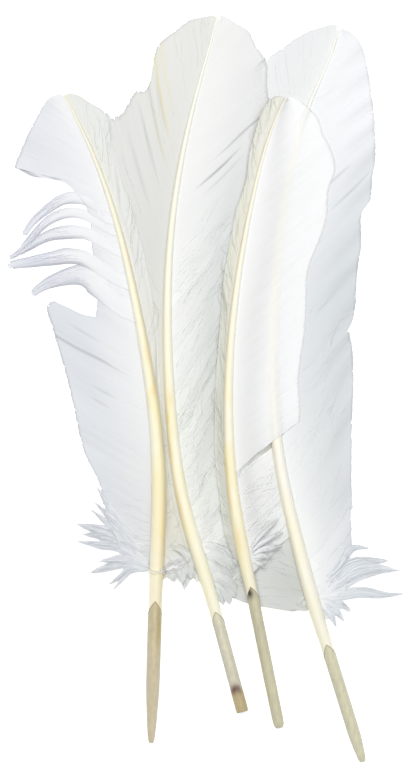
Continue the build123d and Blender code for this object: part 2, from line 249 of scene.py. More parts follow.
class Web:
    """Corners, faces, colours and strand places of barbs zipped side by side, gathered up.

    The first number is how much darker, as painted shade, the barbs in the furrows are than the
    ribs between them; the second is how much darker the underside is painted, as shade.
    """

    FURROW_SHADE = 0.985
    UNDERSIDE_SHADE = 0.97

    def __init__(self):
        self.corners = []
        self.faces = []
        self.smooth = []
        self.colours = []
        self.strands = []
        self.count = 0

    def add_face(self, *corners, smooth=True):
        """One face, from the numbers of its corners."""
        self.faces.append(corners)
        self.smooth.append(smooth)

    def add_lock(self, paths, colours, first):
        """Closed sheet of ribbed barbs: paths is (barbs, points, 3), colours the same shape."""
        barbs, points = paths.shape[:2]
        middles = (paths[:-1] + paths[1:]) / 2
        middles[..., 2] += RIB_HEIGHT * np.sin(np.linspace(0.25, 1, points) * math.pi / 2 * 1.2)
        top = np.empty((2 * barbs - 1, points, 3))
        top[0::2], top[1::2] = paths, middles
        paint = np.empty_like(top)
        paint[0::2], paint[1::2] = colours * self.FURROW_SHADE, (colours[:-1] + colours[1:]) / 2
        under = paths.copy()
        under[..., 2] -= BARB_THICKNESS
        rows = 2 * barbs - 1
        base = self.count

        def up(row, point):
            return base + row * points + point

        def down(row, point):
            return base + (rows + row) * points + point

        last, top_last = barbs - 1, rows - 1
        for point in range(points - 1):
            after = point + 1
            for row in range(top_last):
                self.add_face(up(row, point), up(row + 1, point), up(row + 1, after), up(row, after))
            for row in range(last):
                self.add_face(down(row, point), down(row, after), down(row + 1, after), down(row + 1, point))
            first_wall = (up(0, point), up(0, after), down(0, after), down(0, point))
            last_wall = (up(top_last, point), down(last, point), down(last, after), up(top_last, after))
            self.add_face(*first_wall, smooth=False)
            self.add_face(*last_wall, smooth=False)
        for row in range(last):
            for point, order in ((0, 1), (points - 1, -1)):
                upper = [up(2 * row + step, point) for step in (2, 1)]
                ring = (up(2 * row, point), down(row, point), down(row + 1, point), *upper)
                self.add_face(*ring[::order], smooth=False)
        along = np.broadcast_to(np.linspace(0, 1, points), (rows, points))
        across = np.broadcast_to((first + np.arange(rows) / 2)[:, None], (rows, points))
        self.corners.append(top.reshape(-1, 3))
        self.corners.append(under.reshape(-1, 3))
        self.colours.append(paint.reshape(-1, 3))
        self.colours.append((colours * self.UNDERSIDE_SHADE).reshape(-1, 3))
        self.strands.append(np.stack([along, across], -1).reshape(-1, 2))
        self.strands.append(np.stack([along[0::2], across[0::2]], -1).reshape(-1, 2))
        self.count += rows * points + barbs * points

    def add_hair(self, path, radius, colour):
        """Closed tapering hair along a path of points."""
        path = np.asarray(path)
        points, sides = len(path), HAIR_SIDES
        tangents = np.gradient(path, axis=0)
        tangents /= np.linalg.norm(tangents, axis=1)[:, None] + 1e-12
        sideways = np.cross(tangents, (0, 0, 1.0))
        sideways /= np.linalg.norm(sideways, axis=1)[:, None] + 1e-12
        upward = np.cross(sideways, tangents)
        taper = radius * (1 - 0.85 * np.linspace(0, 1, points) ** 1.5)
        ring = []
        for side in range(sides):
            angle = 2 * math.pi * side / sides + math.pi / 2
            ring.append(path + taper[:, None] * (math.cos(angle) * sideways + math.sin(angle) * upward))
        corners = np.stack(ring, 1).reshape(-1, 3)
        base = self.count
        for point in range(points - 1):
            for side in range(sides):
                a = base + point * sides + side
                b = base + point * sides + (side + 1) % sides
                self.add_face(a, a + sides, b + sides, b)
        end = base + (points - 1) * sides
        self.add_face(*range(base, base + sides), smooth=False)
        self.add_face(*range(end + sides - 1, end - 1, -1), smooth=False)
        self.corners.append(corners)
        self.colours.append(np.broadcast_to(colour, corners.shape))
        along = np.repeat(np.linspace(0, 1, points), sides)
        self.strands.append(np.stack([along, np.full(len(along), float(base % 97))], -1))
        self.count += len(corners)

    def build(self, name):
        """The gathered barbs as one object."""
        return new_object(
            name,
            np.concatenate(self.corners),
            self.faces,
            np.concatenate(self.colours),
            np.concatenate(self.strands),
            self.smooth,
        )


# ---------------------------------------------------------------- colours


def linear(shade):
    """Linear colour of an sRGB shade given as 0 to 255."""
    share = np.asarray(shade, float) / 255
    return np.where(share < 0.04045, share / 12.92, ((share + 0.055) / 1.055) ** 2.4)


def mix(a, b, share):
    """Blend from a to b, with a share for each point."""
    share = np.asarray(share, float)[..., None]
    return a + (b - a) * share


def shades_along(knots, shares):
    """Colours at shares of a shaft's length, from knots of (share, red, green, blue)."""
    places = [share for share, *_ in knots]
    colours = np.array([linear(shade) for _, *shade in knots])
    return np.stack([np.interp(shares, places, colours[:, channel]) for channel in range(3)], 1)


# What a vane is painted with: shade over another vane, a glow where a shaft shows through it, shade in a
# split, and its own yellow in streaks.
SHADE = linear((226, 228, 222))
GLOW = linear((255, 250, 226))
CREASE_SHADE = linear((172, 175, 178))
STRAW = linear((238, 228, 190))


# ---------------------------------------------------------------- the four quills

QUILLS = ("quill_1", "quill_2", "quill_3", "quill_4")
SIDES = {"left": -1, "right": 1}
shafts = {quill: Shaft(quill) for quill in QUILLS}
sheets = {(quill, side): Sheet(f"{quill}_{side}_vane") for quill in QUILLS for side in SIDES}

# For each vane:
# base: where it ends on the shaft, as a share of the shaft's length; count and points: how
#     many barbs, and points on each
# inner and outer: shades by the shaft and at the edge, at shares of the shaft's length
# angles: each barb's angle to the shaft at its root and at the edge, at the same shares
# waves: pitch along the shaft, height, and the share of the barb where they begin
# streaks and yellow: how strongly the barbs differ in shade and in yellow
# cover and glow: how much painted shade it takes over other vanes, and how much painted glow where another
# shaft shows through
# band: a darker band along the vane, as its middle, its width and its strength
# splits and folds: grooves at a share of the shaft, from and to shares of the barb, and how
#     much painted shade lies in a split or how yellow a fold is
# locks: where the vane is unzipped, as from, to, how many, and how far the locks swing;
#     crack is how much painted shade lies in the cracks between them
VANES = {
    ("quill_1", "left"): dict(
        base=0.065, count=460, points=24, cover=0.2, glow=0,
        inner=[(0.05, 222, 224, 227), (0.2, 230, 232, 233), (0.4, 240, 241, 242), (1, 246, 246, 248)],
        outer=[(0.05, 222, 226, 231), (0.15, 228, 231, 235), (0.5, 225, 229, 235), (1, 234, 236, 242)],
        angles=[(0, 100, 92), (0.1, 84, 72), (0.2, 66, 58), (0.45, 58, 52), (0.8, 52, 44), (1, 24, 18)],
        waves=(23 * MM, 0.3 * MM, 0.4), streaks=0.01, yellow=0.0, crack=0.06,
        splits=[(0.432, 0.08, 1.0, 0.6), (0.37, 0.4, 0.68, 0.25), (0.345, 0.48, 0.74, 0.25),
                (0.47, 0.45, 0.8, 0.2)],
        locks=[(0.065, 0.16, 8, 1.2 * MM)],
    ),
    ("quill_1", "right"): dict(
        base=0.055, count=270, points=24, cover=0.06, glow=0,
        inner=[(0.05, 226, 225, 214), (0.3, 226, 226, 217), (0.6, 238, 238, 233), (1, 237, 238, 232)],
        outer=[(0.05, 226, 226, 219), (0.3, 228, 229, 223), (0.6, 236, 238, 236), (1, 236, 238, 235)],
        angles=[(0, 60, 40), (0.1, 34, 22), (0.25, 19, 12), (0.8, 15, 10), (0.93, 13, 9), (1, 9, 7)],
        waves=(31 * MM, 0.1 * MM, 0.3), streaks=0.022, yellow=0.2,
        splits=[(0.72, 0.35, 0.9, 0.25), (0.6, 0.4, 0.8, 0.25)],
        locks=[],
    ),
    ("quill_2", "left"): dict(
        base=0.06, count=330, points=24, cover=0.1, glow=0,
        inner=[(0.05, 226, 226, 216), (0.35, 221, 222, 215), (0.6, 224, 225, 221), (1, 236, 236, 233)],
        outer=[(0.05, 226, 227, 219), (0.35, 226, 227, 222), (0.6, 230, 231, 228), (1, 236, 236, 231)],
        angles=[(0, 60, 45), (0.12, 36, 28), (0.3, 25, 19), (0.8, 26, 20), (1, 20, 14)],
        waves=(37 * MM, 0.12 * MM, 0.3), streaks=0.016, yellow=0.18,
        splits=[(0.7, 0.15, 1.0, 0.3), (0.655, 0.25, 0.95, 0.3), (0.6, 0.3, 0.9, 0.25),
                (0.735, 0.3, 0.9, 0.25)],
        folds=[(0.742, 0.1, 1.0, 0.9), (0.7, 0.2, 0.9, 0.6), (0.77, 0.3, 1.0, 0.5)],
        locks=[],
    ),
    ("quill_2", "right"): dict(
        base=0.07, count=520, points=24, cover=0.1, glow=0,
        inner=[(0.07, 238, 239, 236), (0.3, 236, 238, 234), (0.46, 242, 243, 241), (0.6, 249, 250, 249),
               (1, 248, 248, 247)],
        outer=[(0.07, 226, 229, 226), (0.25, 217, 220, 215), (0.5, 222, 226, 225), (0.7, 237, 238, 238),
               (1, 246, 246, 246)],
        angles=[(0, 88, 78), (0.12, 58, 48), (0.3, 40, 32), (0.6, 43, 38), (0.85, 45, 40), (1, 22, 16)],
        waves=(26 * MM, 0.15 * MM, 0.4), streaks=0.012, yellow=0.0,
        splits=[(0.685, 0.2, 0.72, 0.85), (0.715, 0.3, 1.0, 0.6), (0.66, 0.3, 0.8, 0.3)],
        locks=[(0.07, 0.34, 15, 1.8 * MM), (0.34, 0.54, 9, 1.2 * MM)],
    ),
    ("quill_3", "left"): dict(
        base=0.05, count=260, points=24, cover=0.05, glow=0,
        inner=[(0.05, 228, 229, 222), (0.35, 228, 229, 219), (0.6, 236, 234, 220), (1, 246, 245, 237)],
        outer=[(0.05, 226, 228, 222), (0.35, 226, 228, 220), (0.6, 233, 234, 225), (1, 242, 242, 236)],
        angles=[(0, 60, 40), (0.12, 26, 16), (0.3, 11, 8), (0.9, 9, 7), (1, 7, 6)],
        waves=(29 * MM, 0.08 * MM, 0.3), streaks=0.045, yellow=0.6,
        splits=[(0.5, 0.3, 0.95, 0.25), (0.66, 0.35, 0.9, 0.25)],
        locks=[],
    ),
    ("quill_3", "right"): dict(
        base=0.04, count=450, points=24, cover=0.02, glow=0.32,
        inner=[(0.04, 236, 238, 238), (0.12, 243, 244, 243), (0.4, 246, 247, 246), (1, 253, 253, 253)],
        outer=[(0.04, 234, 237, 236), (0.09, 240, 242, 242), (0.15, 239, 240, 240), (0.3, 251, 252, 253),
               (1, 253, 254, 255)],
        band=(0.3, 0.18, 0.1),
        angles=[(0, 88, 72), (0.1, 58, 50), (0.2, 44, 62), (0.3, 44, 66), (0.42, 44, 48), (0.8, 42, 38),
                (1, 20, 14)],
        waves=(21 * MM, 0.1 * MM, 0.5), streaks=0.008, yellow=0.0,
        splits=[],
        locks=[(0.04, 0.14, 7, 1.4 * MM)],
    ),
    ("quill_4", "left"): dict(
        base=0.07, count=300, points=44, cover=0.1, glow=0,
        inner=[(0.07, 214, 216, 213), (0.1, 205, 208, 203), (0.15, 210, 212, 208), (0.22, 226, 227, 224),
               (0.35, 236, 238, 238), (1, 243, 245, 245)],
        outer=[(0.0, 216, 219, 218), (0.1, 216, 219, 217), (0.3, 234, 236, 237), (1, 240, 242, 243)],
        angles=[(0, 96, 96), (0.1, 66, 60), (0.25, 34, 28), (0.8, 27, 22), (1, 20, 15)],
        waves=(33 * MM, 0.12 * MM, 0.3), streaks=0.012, yellow=0.0,
        splits=[],
        locks=[],
    ),
    ("quill_4", "right"): dict(
        base=0.05, count=470, points=24, cover=0.1, glow=0,
        inner=[(0.05, 242, 244, 245), (0.22, 243, 245, 245), (0.3, 243, 245, 245), (0.4, 233, 237, 239),
               (0.5, 233, 237, 239), (0.65, 243, 245, 247), (1, 249, 250, 252)],
        outer=[(0.05, 226, 229, 233), (0.2, 218, 222, 224), (0.5, 217, 222, 225), (0.65, 232, 235, 239),
               (0.75, 248, 249, 252), (1, 248, 249, 252)],
        angles=[(0, 96, 88), (0.1, 66, 56), (0.22, 48, 42), (0.8, 46, 40), (1, 22, 16)],
        waves=(18 * MM, 0.6 * MM, 0.38), streaks=0.01, yellow=0.0, crack=0.12,
        splits=[(0.635, 0.5, 0.98, 0.4), (0.685, 0.4, 0.75, 0.35)],
        locks=[(0.05, 0.14, 6, 1.0 * MM)],
    ),
}

# The torn corner of the first quill's left vane: from where on the shaft and how far out
# its barbs sag, by how much at their tips, and how soon this dies out along the shaft.
SAG_FROM = 0.7
SAG_RUN = (20 * MM, 38 * MM)
SAG = np.array([-1.8 * MM, -5.6 * MM])
SAG_FADE = 0.03

# The second quill's left barbs reach further beside the first quill: around which level, as a
# share of the pile's length, how far around it, and by how much.
REACHING = (0.83996, 6.5 * MM, 6.5 * MM)

# The third quill's right barbs are carried on to the fourth's shaft below this level, where
# the gap is narrow enough. They stop at this many half widths from its middle.
STRETCH_TOP = 0.419
WIDEST_GAP = 6 * MM
LONGEST_STRETCH = 12 * MM
STRETCH_END = 1.06

# Wedge of shadow on the fourth quill's left vane, seen through the notch in the third's:
# its two ends in shares of the vane's box, and its half width at the wide end.
NOTCH_SHADOW = ((0.237, 0.246), (0.467, 0.277), 3.0 * MM)
NOTCH_SHADE = (170, 166, 148)


# Strands that have come away from the first quill's left vane: the shares of the shaft that
# their barbs spring from, the widths in mm by the shaft, a third of the way and at the tip,
# and the centre line in shares of the loose barbs' box.
STRAND_POINTS = 44
STRANDS = [
    dict(roots=(0.735, 0.752), widths=(5.4, 6.0, 2.4),
         points=[(0.965, 0.78), (0.86, 0.89), (0.70, 0.93), (0.57, 0.915), (0.43, 0.83), (0.3, 0.73),
                 (0.22, 0.635), (0.175, 0.56)]),
    dict(roots=(0.712, 0.731), widths=(4.4, 4.6, 1.6),
         points=[(0.94, 0.68), (0.825, 0.75), (0.69, 0.79), (0.56, 0.775), (0.44, 0.72), (0.33, 0.63),
                 (0.22, 0.51), (0.125, 0.41), (0.03, 0.35)]),
    dict(roots=(0.672, 0.7), widths=(5.4, 6.4, 1.4),
         points=[(0.92, 0.53), (0.81, 0.595), (0.67, 0.61), (0.54, 0.6), (0.4, 0.565), (0.29, 0.5),
                 (0.18, 0.44), (0.02, 0.345)]),
    dict(roots=(0.606, 0.64), widths=(6.4, 7.0, 3.2),
         points=[(0.9, 0.31), (0.77, 0.36), (0.635, 0.385), (0.47, 0.36), (0.33, 0.34), (0.18, 0.315),
                 (0.06, 0.3), (0.0, 0.28)]),
    dict(roots=(0.545, 0.592), widths=(11.0, 10.0, 2.6),
         points=[(0.98, 0.0), (0.9, 0.12), (0.77, 0.2), (0.635, 0.19), (0.51, 0.155), (0.38, 0.105),
                 (0.305, 0.05), (0.245, 0.0)]),
]


def trace_barb(quill, side, share, root_angle, edge_angle):
    """Points of one barb from the shaft to the edge of its CAD vane, or None if it has no room."""
    shaft = shafts[quill]
    sheet = sheets[quill, side]
    distance = share * shaft.length[-1]
    heading = shaft.heading(distance)
    outward = np.array([heading[1], -heading[0]]) * SIDES[side]
    root = shaft.place(distance)[:2] + outward * shaft.at(distance, shaft.half) * ROOT_DEPTH
    spot = root
    points = []
    missed = 0
    turned = 0.0
    while turned < LONGEST_BARB:
        height = sheet.height(*spot)
        if height is not None:
            points.append((*spot, height))
        elif points:
            break
        else:
            missed += 1
            if missed > MOST_MISSES:
                return None
        turn = (root_angle - edge_angle) * math.exp(-turned / TURN_LENGTH)
        angle = math.radians(edge_angle + turn)
        spot = spot + STEP * (math.cos(angle) * heading + math.sin(angle) * outward)
        turned += STEP
    if len(points) < 3:
        return None
    inside, outside = np.array(points[-1][:2]), spot
    for _ in range(5):
        middle = (inside + outside) / 2
        if sheet.height(*middle) is None:
            outside = middle
        else:
            inside = middle
    points.append((*inside, points[-1][2]))
    return np.array([(*root, points[0][2]), *points])


def lengthen(path, share, reach, most):
    """Path carried on past the vane's edge, by most at one level of the pile and less around it."""
    run = path[-1] - path[-4]
    more = most * math.exp(-(((path[-1, 1] - pile_level(share)) / reach) ** 2))
    end = path[-1] + run / np.linalg.norm(run) * more
    return np.vstack([path, end]) if more > 0.1 * MM else path


def stretch_to_shaft(path, quill):
    """Path carried on to the near side of another quill's shaft, if it ends close beside it."""
    shaft = shafts[quill]
    centre, half = (np.interp(path[-1, 1], shaft.y, row) for row in (shaft.x, shaft.half))
    gap = centre - STRETCH_END * half - path[-1, 0]
    run = path[-1] - path[-3]
    if not (0 < gap < WIDEST_GAP and run[0] > 0) or path[-1, 1] > pile_level(STRETCH_TOP):
        return path
    return np.vstack([path, path[-1] + run * min(gap / run[0], LONGEST_STRETCH / np.linalg.norm(run))])


def resample(path, count, reach=1.0):
    """Path as a number of evenly spaced points over a share of its length."""
    runs = np.linalg.norm(np.diff(path, axis=0), axis=1)
    travelled = np.concatenate([[0], np.cumsum(runs)])
    places = np.linspace(0, travelled[-1] * reach, count)
    return np.stack([np.interp(places, travelled, path[:, axis]) for axis in range(3)], 1)


def smooth_path(points, count):
    """Even points on a smooth curve through a few points (Catmull-Rom)."""
    points = np.asarray(points, float)
    padded = np.vstack([2 * points[0] - points[1], points, 2 * points[-1] - points[-2]])
    dense = []
    for index in range(1, len(padded) - 2):
        a, b, c, d = padded[index - 1:index + 3]
        for share in np.linspace(0, 1, 12, endpoint=False):
            bend = (2 * a - 5 * b + 4 * c - d) * share**2 + (3 * b - a - 3 * c + d) * share**3
            dense.append(0.5 * (2 * b + (c - a) * share + bend))
    dense.append(padded[-2])
    return resample(np.array(dense), count)


def weave(rows, columns, row_knots, column_knots):
    """Smooth random sheet of numbers between about -1 and 1."""
    knots = random.uniform(-1, 1, (row_knots, column_knots))

    def spread(values, count):
        places = np.linspace(0, len(values) - 1, count)
        low = np.clip(places.astype(int), 0, len(values) - 2)
        share = (places - low)[:, None]
        share = share * share * (3 - 2 * share)
        return values[low] * (1 - share) + values[low + 1] * share

    return spread(spread(knots, rows).T, columns).T


def blur(values, reach):
    """Sheet of numbers averaged over its neighbours both ways."""
    for axis in (0, 1):
        padded = np.pad(values, [(reach, reach) if a == axis else (0, 0) for a in (0, 1)], "edge")
        kernel = np.ones(2 * reach + 1) / (2 * reach + 1)
        values = np.apply_along_axis(np.convolve, axis, padded, kernel, "valid")
    return values


# Where a point feels for other vanes around it, the most vanes beneath that count for its painted
# shade, and how far beside a shaft it still rests on it, in half widths squared.
PROBES = ((-0.9 * MM, -0.6 * MM), (0.9 * MM, -0.4 * MM), (0, 1.0 * MM))
MOST_COVER = 1.6
CROWN_REACH = 1.3


def neighbours(quill, points):
    """What lies under and over points of this quill.

    Gives how many vanes lie beneath and how near a shaft is beneath, the height of
    the highest of them, and where another vane lies above.
    """
    flat = points.reshape(-1, 3)
    cover = np.zeros(len(flat))
    above = np.zeros(len(flat))
    support = np.full(len(flat), CAD_BOUNDS[0][2])
    others = [sheet for (other, _), sheet in sheets.items() if other != quill]
    for index, (x, y, z) in enumerate(flat):
        hits = 0
        for sheet in others:
            for dx, dy in PROBES:
                height = sheet.height(x + dx, y + dy)
                if height is None:
                    continue
                if height < z:
                    hits += 1
                    support[index] = max(support[index], height)
                else:
                    above[index] = 1
        cover[index] = min(hits / len(PROBES), MOST_COVER)
    glow = np.zeros(len(flat))
    for other in QUILLS:
        if other == quill:
            continue
        shaft = shafts[other]
        rows = (shaft.x, shaft.z, shaft.half)
        centre, level, half = (np.interp(flat[:, 1], shaft.y, row) for row in rows)
        off = np.abs(flat[:, 0] - centre) / half
        inside = (flat[:, 1] > shaft.y[0]) & (flat[:, 1] < shaft.y[-1]) & (flat[:, 2] > level)
        glow = np.maximum(glow, np.exp(-((off / 1.1) ** 2)) * inside)
        crown = level + half * np.sqrt(np.clip(CROWN_REACH - off**2, 0, 1))
        support = np.where(inside & (off < math.sqrt(CROWN_REACH)), np.maximum(support, crown), support)
    shape = points.shape[:-1]
    return cover.reshape(shape), glow.reshape(shape), support.reshape(shape), above.reshape(shape)


# How deep a split is dented, and the cut that each loose strand leaves in its vane: where on
# the barb it starts, how much painted shade lies in it, and how far its sides overlap.
GROOVE_DEPTH = 0.2 * MM
STRAND_CUT = (0.3, 0.35, 0)


def split_groove(shares, along, share, start, end):
    """Depth of the groove where two barbs part, between 0 and 1, for all barbs and places."""
    place = np.clip((along - start) / (end - start), 0, 1)
    depth = smoothstep(0, 0.5, place) if end >= 1 else np.sin(place * math.pi) ** 0.7
    pitch = (shares[-1] - shares[0]) / len(shares)
    off = (shares - share) / (pitch * (0.6 + 1.1 * depth[:, None]))
    return (np.exp(-(off**2)) * depth[:, None]).T


def aside(paths, side):
    """Level direction across each barb, towards the shaft's tip."""
    tangents = np.gradient(paths, axis=1)[..., :2]
    tangents = tangents / (np.linalg.norm(tangents, axis=2)[..., None] + 1e-12)
    return np.stack([-tangents[..., 1], tangents[..., 0]], 2) * SIDES[side]


def strand_paths(paths, shares, strand):
    """Barbs from the shaft that leave the vane and follow a loose strand."""
    low, high = (np.array(corner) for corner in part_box("quill_1_loose_barbs"))
    size = high - low
    centre = [(low[0] + size[0] * x, low[1] + size[1] * y, 0) for x, y in strand["points"]]
    centre = smooth_path(centre, 40)
    along = np.linspace(0, 1, len(centre))
    width = np.interp(along, (0, 0.35, 1), np.array(strand["widths"]) * MM)
    across = aside(centre[None], "left")[0]
    bottom = low[2] + 0.6 * MM
    rows = np.flatnonzero((shares >= strand["roots"][0]) & (shares <= strand["roots"][1]))
    result = []
    for number, row in enumerate(rows):
        place = number / (len(rows) - 1) - 0.5
        line = centre.copy()
        line[:, :2] += across * (place * width * (1 + 0.1 * random.uniform(-1, 1)))[:, None]
        level = paths[row][-1, 2]
        line[:, 2] = level - (level - bottom) * smoothstep(0.1, 1, along) + 0.35 * MM * math.cos(place * 3)
        keep = paths.shape[1] // 2
        reach = 1 - 0.04 * random.random() - 0.04 * abs(place)
        inner = paths[row][:keep:3] + (0, 0, 0.25 * MM)
        whole = np.vstack([inner, line[4::5]])
        result.append(resample(smooth_path(whole, 90), STRAND_POINTS, reach))
    return rows, np.array(result)


def paint_vane(look, shares, along, lengths, swell, cover, glow):
    """Colours of the barbs: shades, streaks, painted shade in wave troughs, and painted shade and glow from
    beneath.
    """
    count, points = len(shares), len(along)
    inner, outer = (shades_along(look[part], shares)[:, None, :] for part in ("inner", "outer"))
    patches = weave(count, points, 9, 4)
    short = np.clip(lengths / (0.7 * lengths.max()), 0, 1)[:, None]
    fade = np.clip(smoothstep(0.05, 0.8, along[None, :] * short) + 0.18 * patches, 0, 1)
    colours = mix(inner, outer, fade)
    centre, width, depth = look.get("band", (0, 1, 0))
    colours = colours * (1 - depth * np.exp(-(((along - centre) / width) ** 2)))[None, :, None]
    # Painted shade where other vanes lie beneath, and painted glow where another shaft lies beneath.
    colours = mix(colours, colours * SHADE, cover * look["cover"])
    colours = mix(colours, GLOW, glow * look["glow"])
    free = smoothstep(0.02, 0.2, along)[None, :]
    streak = wander(count, count // 2)[:, None] * 0.6 + wander(count, count // 14)[:, None] * 0.7
    colours = colours * (1 + look["streaks"] * streak * free)[..., None]
    yellow = np.clip(wander(count, count // 3), 0, 1)[:, None] * look["yellow"]
    yellow = yellow * smoothstep(0.3, 0.6, shares)[:, None]
    colours = mix(colours, STRAW, np.clip(yellow * (0.5 + 0.5 * streak), 0, 1) * 0.8)
    for share, start, end, strength in look.get("folds", []):
        colours = mix(colours, STRAW, strength * split_groove(shares, along, share, start, end))
    # Painted shade in the troughs of the waves, deeper for taller waves.
    trough_shade = np.clip(-swell, 0, 1) * min(look["waves"][1] / (0.6 * MM), 1)
    return colours * (1 - 0.05 * trough_shade)[..., None]


def wedge(points, node, start, end, width):
    """How deep points lie in a wedge that opens from start to end, in shares of a node's box."""
    low, high = (np.array(corner)[:2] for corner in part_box(node))
    start, end = low + (high - low) * start, low + (high - low) * end
    run = end - start
    along = (points[..., :2] - start) @ run / (run @ run)
    off = np.abs((points[..., :2] - start) @ np.array([-run[1], run[0]])) / np.linalg.norm(run)
    inside = np.exp(-((off / (width * np.clip(along, 0.15, 1))) ** 4))
    return inside * smoothstep(-0.05, 0.15, along) * smoothstep(1.2, 1.0, along)


# Loose hairs that lie on a vane: share of the shaft from and to, how many, their lengths in
# mm, how far their heading strays from the barbs' in degrees, and how dark and how pale they
# may be beside the vane.
FUZZ = {
    ("quill_1", "left"): [(0.07, 0.2, 70, (4, 9), 22, 0.97, 1.08), (0.25, 0.9, 16, (8, 20), 4, 0.97, 1.02)],
    ("quill_1", "right"): [(0.06, 0.9, 90, (14, 40), 4, 0.94, 1.06)],
    ("quill_2", "left"): [(0.1, 0.95, 60, (14, 40), 4, 0.96, 1.06)],
    ("quill_2", "right"): [(0.08, 0.34, 460, (4, 12), 34, 0.95, 1.2),
                           (0.3, 0.6, 220, (8, 22), 14, 0.97, 1.15),
                           (0.12, 0.34, 40, (16, 34), 10, 1.12, 1.2)],
    ("quill_3", "left"): [(0.05, 0.32, 170, (5, 12), 20, 0.94, 1.2),
                          (0.3, 0.95, 160, (14, 44), 4, 0.92, 1.1)],
    ("quill_3", "right"): [(0.05, 0.2, 260, (4, 11), 26, 1.0, 1.18)],
    ("quill_4", "left"): [(0.07, 0.3, 60, (5, 12), 12, 0.98, 1.05),
                          (0.5, 0.95, 30, (12, 30), 4, 0.97, 1.03)],
    ("quill_4", "right"): [(0.06, 0.42, 80, (4, 12), 22, 1.0, 1.06),
                           (0.4, 0.9, 10, (8, 18), 4, 0.98, 1.02)],
}


def add_fuzz(web, paths, colours, shares, side, first, last, many, lengths, stray, dark, pale):
    """Loose hairs that lie on a vane, along its barbs or straying from them."""
    rows = np.flatnonzero((shares >= first) & (shares <= last))
    for _ in range(many):
        row = random.choice(rows)
        path = paths[row]
        runs = np.linalg.norm(np.diff(path, axis=0), axis=1)
        travelled = np.concatenate([[0], np.cumsum(runs)])
        length = random.uniform(*lengths) * MM
        share = random.uniform(0.02, 0.85)
        begin = share * travelled[-1]
        places = np.linspace(begin, min(begin + length, travelled[-1] + 0.5 * MM), 8)
        line = np.stack([np.interp(places, travelled, path[:, axis]) for axis in range(3)], 1)
        if places[-1] - places[0] < 2 * MM:
            continue
        turn = math.tan(math.radians(random.uniform(-stray, stray)))
        run = places - places[0]
        bow = random.uniform(-0.1, 0.1) * length * np.sin(run / run[-1] * math.pi)
        line[:, :2] += aside(line[None], side)[0] * (turn * run + bow)[:, None]
        line[:, 2] += 0.05 * MM + random.uniform(0, 0.12) * MM * np.sin(run / run[-1] * 2.4)
        ground = colours[row, int(share * len(path))]
        shade = np.clip(ground * random.uniform(dark, pale), 0, 1)
        web.add_hair(line, HAIR_RADIUS * random.uniform(0.7, 1.3), shade)


def trace_vane(quill, side):
    """Barbs of one vane: their shares of the shaft, their paths, and which were stretched."""
    look = VANES[quill, side]
    knots, root_angles, edge_angles = np.array(look["angles"]).T
    shares, traced, stretched = [], [], []
    for share in np.linspace(look["base"], 0.997, look["count"]):
        root_angle = np.interp(share, knots, root_angles)
        edge_angle = np.interp(share, knots, edge_angles)
        path = trace_barb(quill, side, share, root_angle, edge_angle)
        if path is None:
            continue
        own_length = len(path)
        if (quill, side) == ("quill_3", "right"):
            path = stretch_to_shaft(path, "quill_4")
        stretched.append(len(path) > own_length)
        if (quill, side) == ("quill_2", "left"):
            path = lengthen(path, *REACHING)
        shares.append(share)
        traced.append(path)
    count = len(traced)
    frayed = 0.012 * random.random(count)
    nicks = 1 - frayed - 0.03 * (random.random(count) > 0.93) * random.random(count)
    nicks = np.where(stretched, 1, nicks)
    paths = np.array([resample(path, look["points"], nick) for path, nick in zip(traced, nicks)])
    return np.array(shares), paths, np.flatnonzero(stretched)


def sag_corner(paths, shares):
    """Lets the torn corner of the first quill's left vane hang back along the shaft."""
    corner = shares[np.argmin(np.where(shares > SAG_FROM, paths[:, -1, 0], 0))]
    sag = np.exp(-np.clip(shares - corner, 0, None) / SAG_FADE) * (shares > SAG_FROM)
    run = np.linalg.norm(paths - paths[:, :1], axis=2)
    paths[..., :2] += (sag[:, None] * smoothstep(*SAG_RUN, run))[..., None] * SAG


# How high above what lies beneath it a vane sinks, and the least that it keeps clear.
SUNK = 0.45 * MM
RESTING = 0.3 * MM


def drape_vane(quill, side, shares, paths, stretched, along):
    """Lays the barbs on what is beneath and waves them.

    Gives how far each point is over other vanes and over other shafts, and its swell.
    """
    count, points = paths.shape[:2]
    cover, glow, support, above = neighbours(quill, paths)
    support[stretched, -3:] = support[stretched, -4][:, None]
    calm = 1 - np.clip(blur(above, 4) * 1.4, 0, 0.9)
    drop = (paths[..., 2] - support - SUNK) * (cover > 0.3) * smoothstep(0.1, 0.8, along)
    paths[..., 2] -= blur(blur(np.clip(drop, 0, None), 4), 4)
    free = smoothstep(0.03, 0.3, along)
    pitch, height, begin = VANES[quill, side]["waves"]
    phase = 2 * math.pi * shares * shafts[quill].length[-1] / pitch + 0.8 * wander(count, count // 30)
    swell = np.sin(phase)[:, None] * smoothstep(begin, 1, along)
    ripple = 0.08 * MM * wander(count, count // 5)[:, None]
    ripple = ripple + 0.12 * MM * weave(count, points, count // 18, 4)
    paths[..., 2] += (ripple * free + height * swell) * calm
    paths[..., :2] += aside(paths, side) * (weave(count, points, 12, 5) * 0.5 * MM * free)[..., None]
    gap = np.clip(paths[..., 2] - support - RESTING, 0, None) * (cover > 0.3)
    paths[..., 2] -= blur(gap, 1) * smoothstep(0.6, 0.97, along)
    paths[..., 2] = np.maximum(paths[..., 2], support + RESTING)
    return cover, glow, swell * calm


def unzip(look, shares):
    """Where the vane comes apart: for each cut, where on the barb it starts, how much painted shade
    lies in it and how far its sides overlap. The vane's two ends are cuts with nothing beyond."""
    count = len(shares)
    cuts = {0: None, count - 1: None}
    for first, last, many, swing in look["locks"]:
        for share in np.linspace(first, last, many):
            stray = 0.4 * (last - first) / many * random.uniform(-1, 1)
            cut = int(np.searchsorted(shares, share + stray))
            if 4 < cut < count - 5:
                cuts[cut] = (random.uniform(0.08, 0.3), look.get("crack", 0.2), 1.15 * swing)
    return cuts


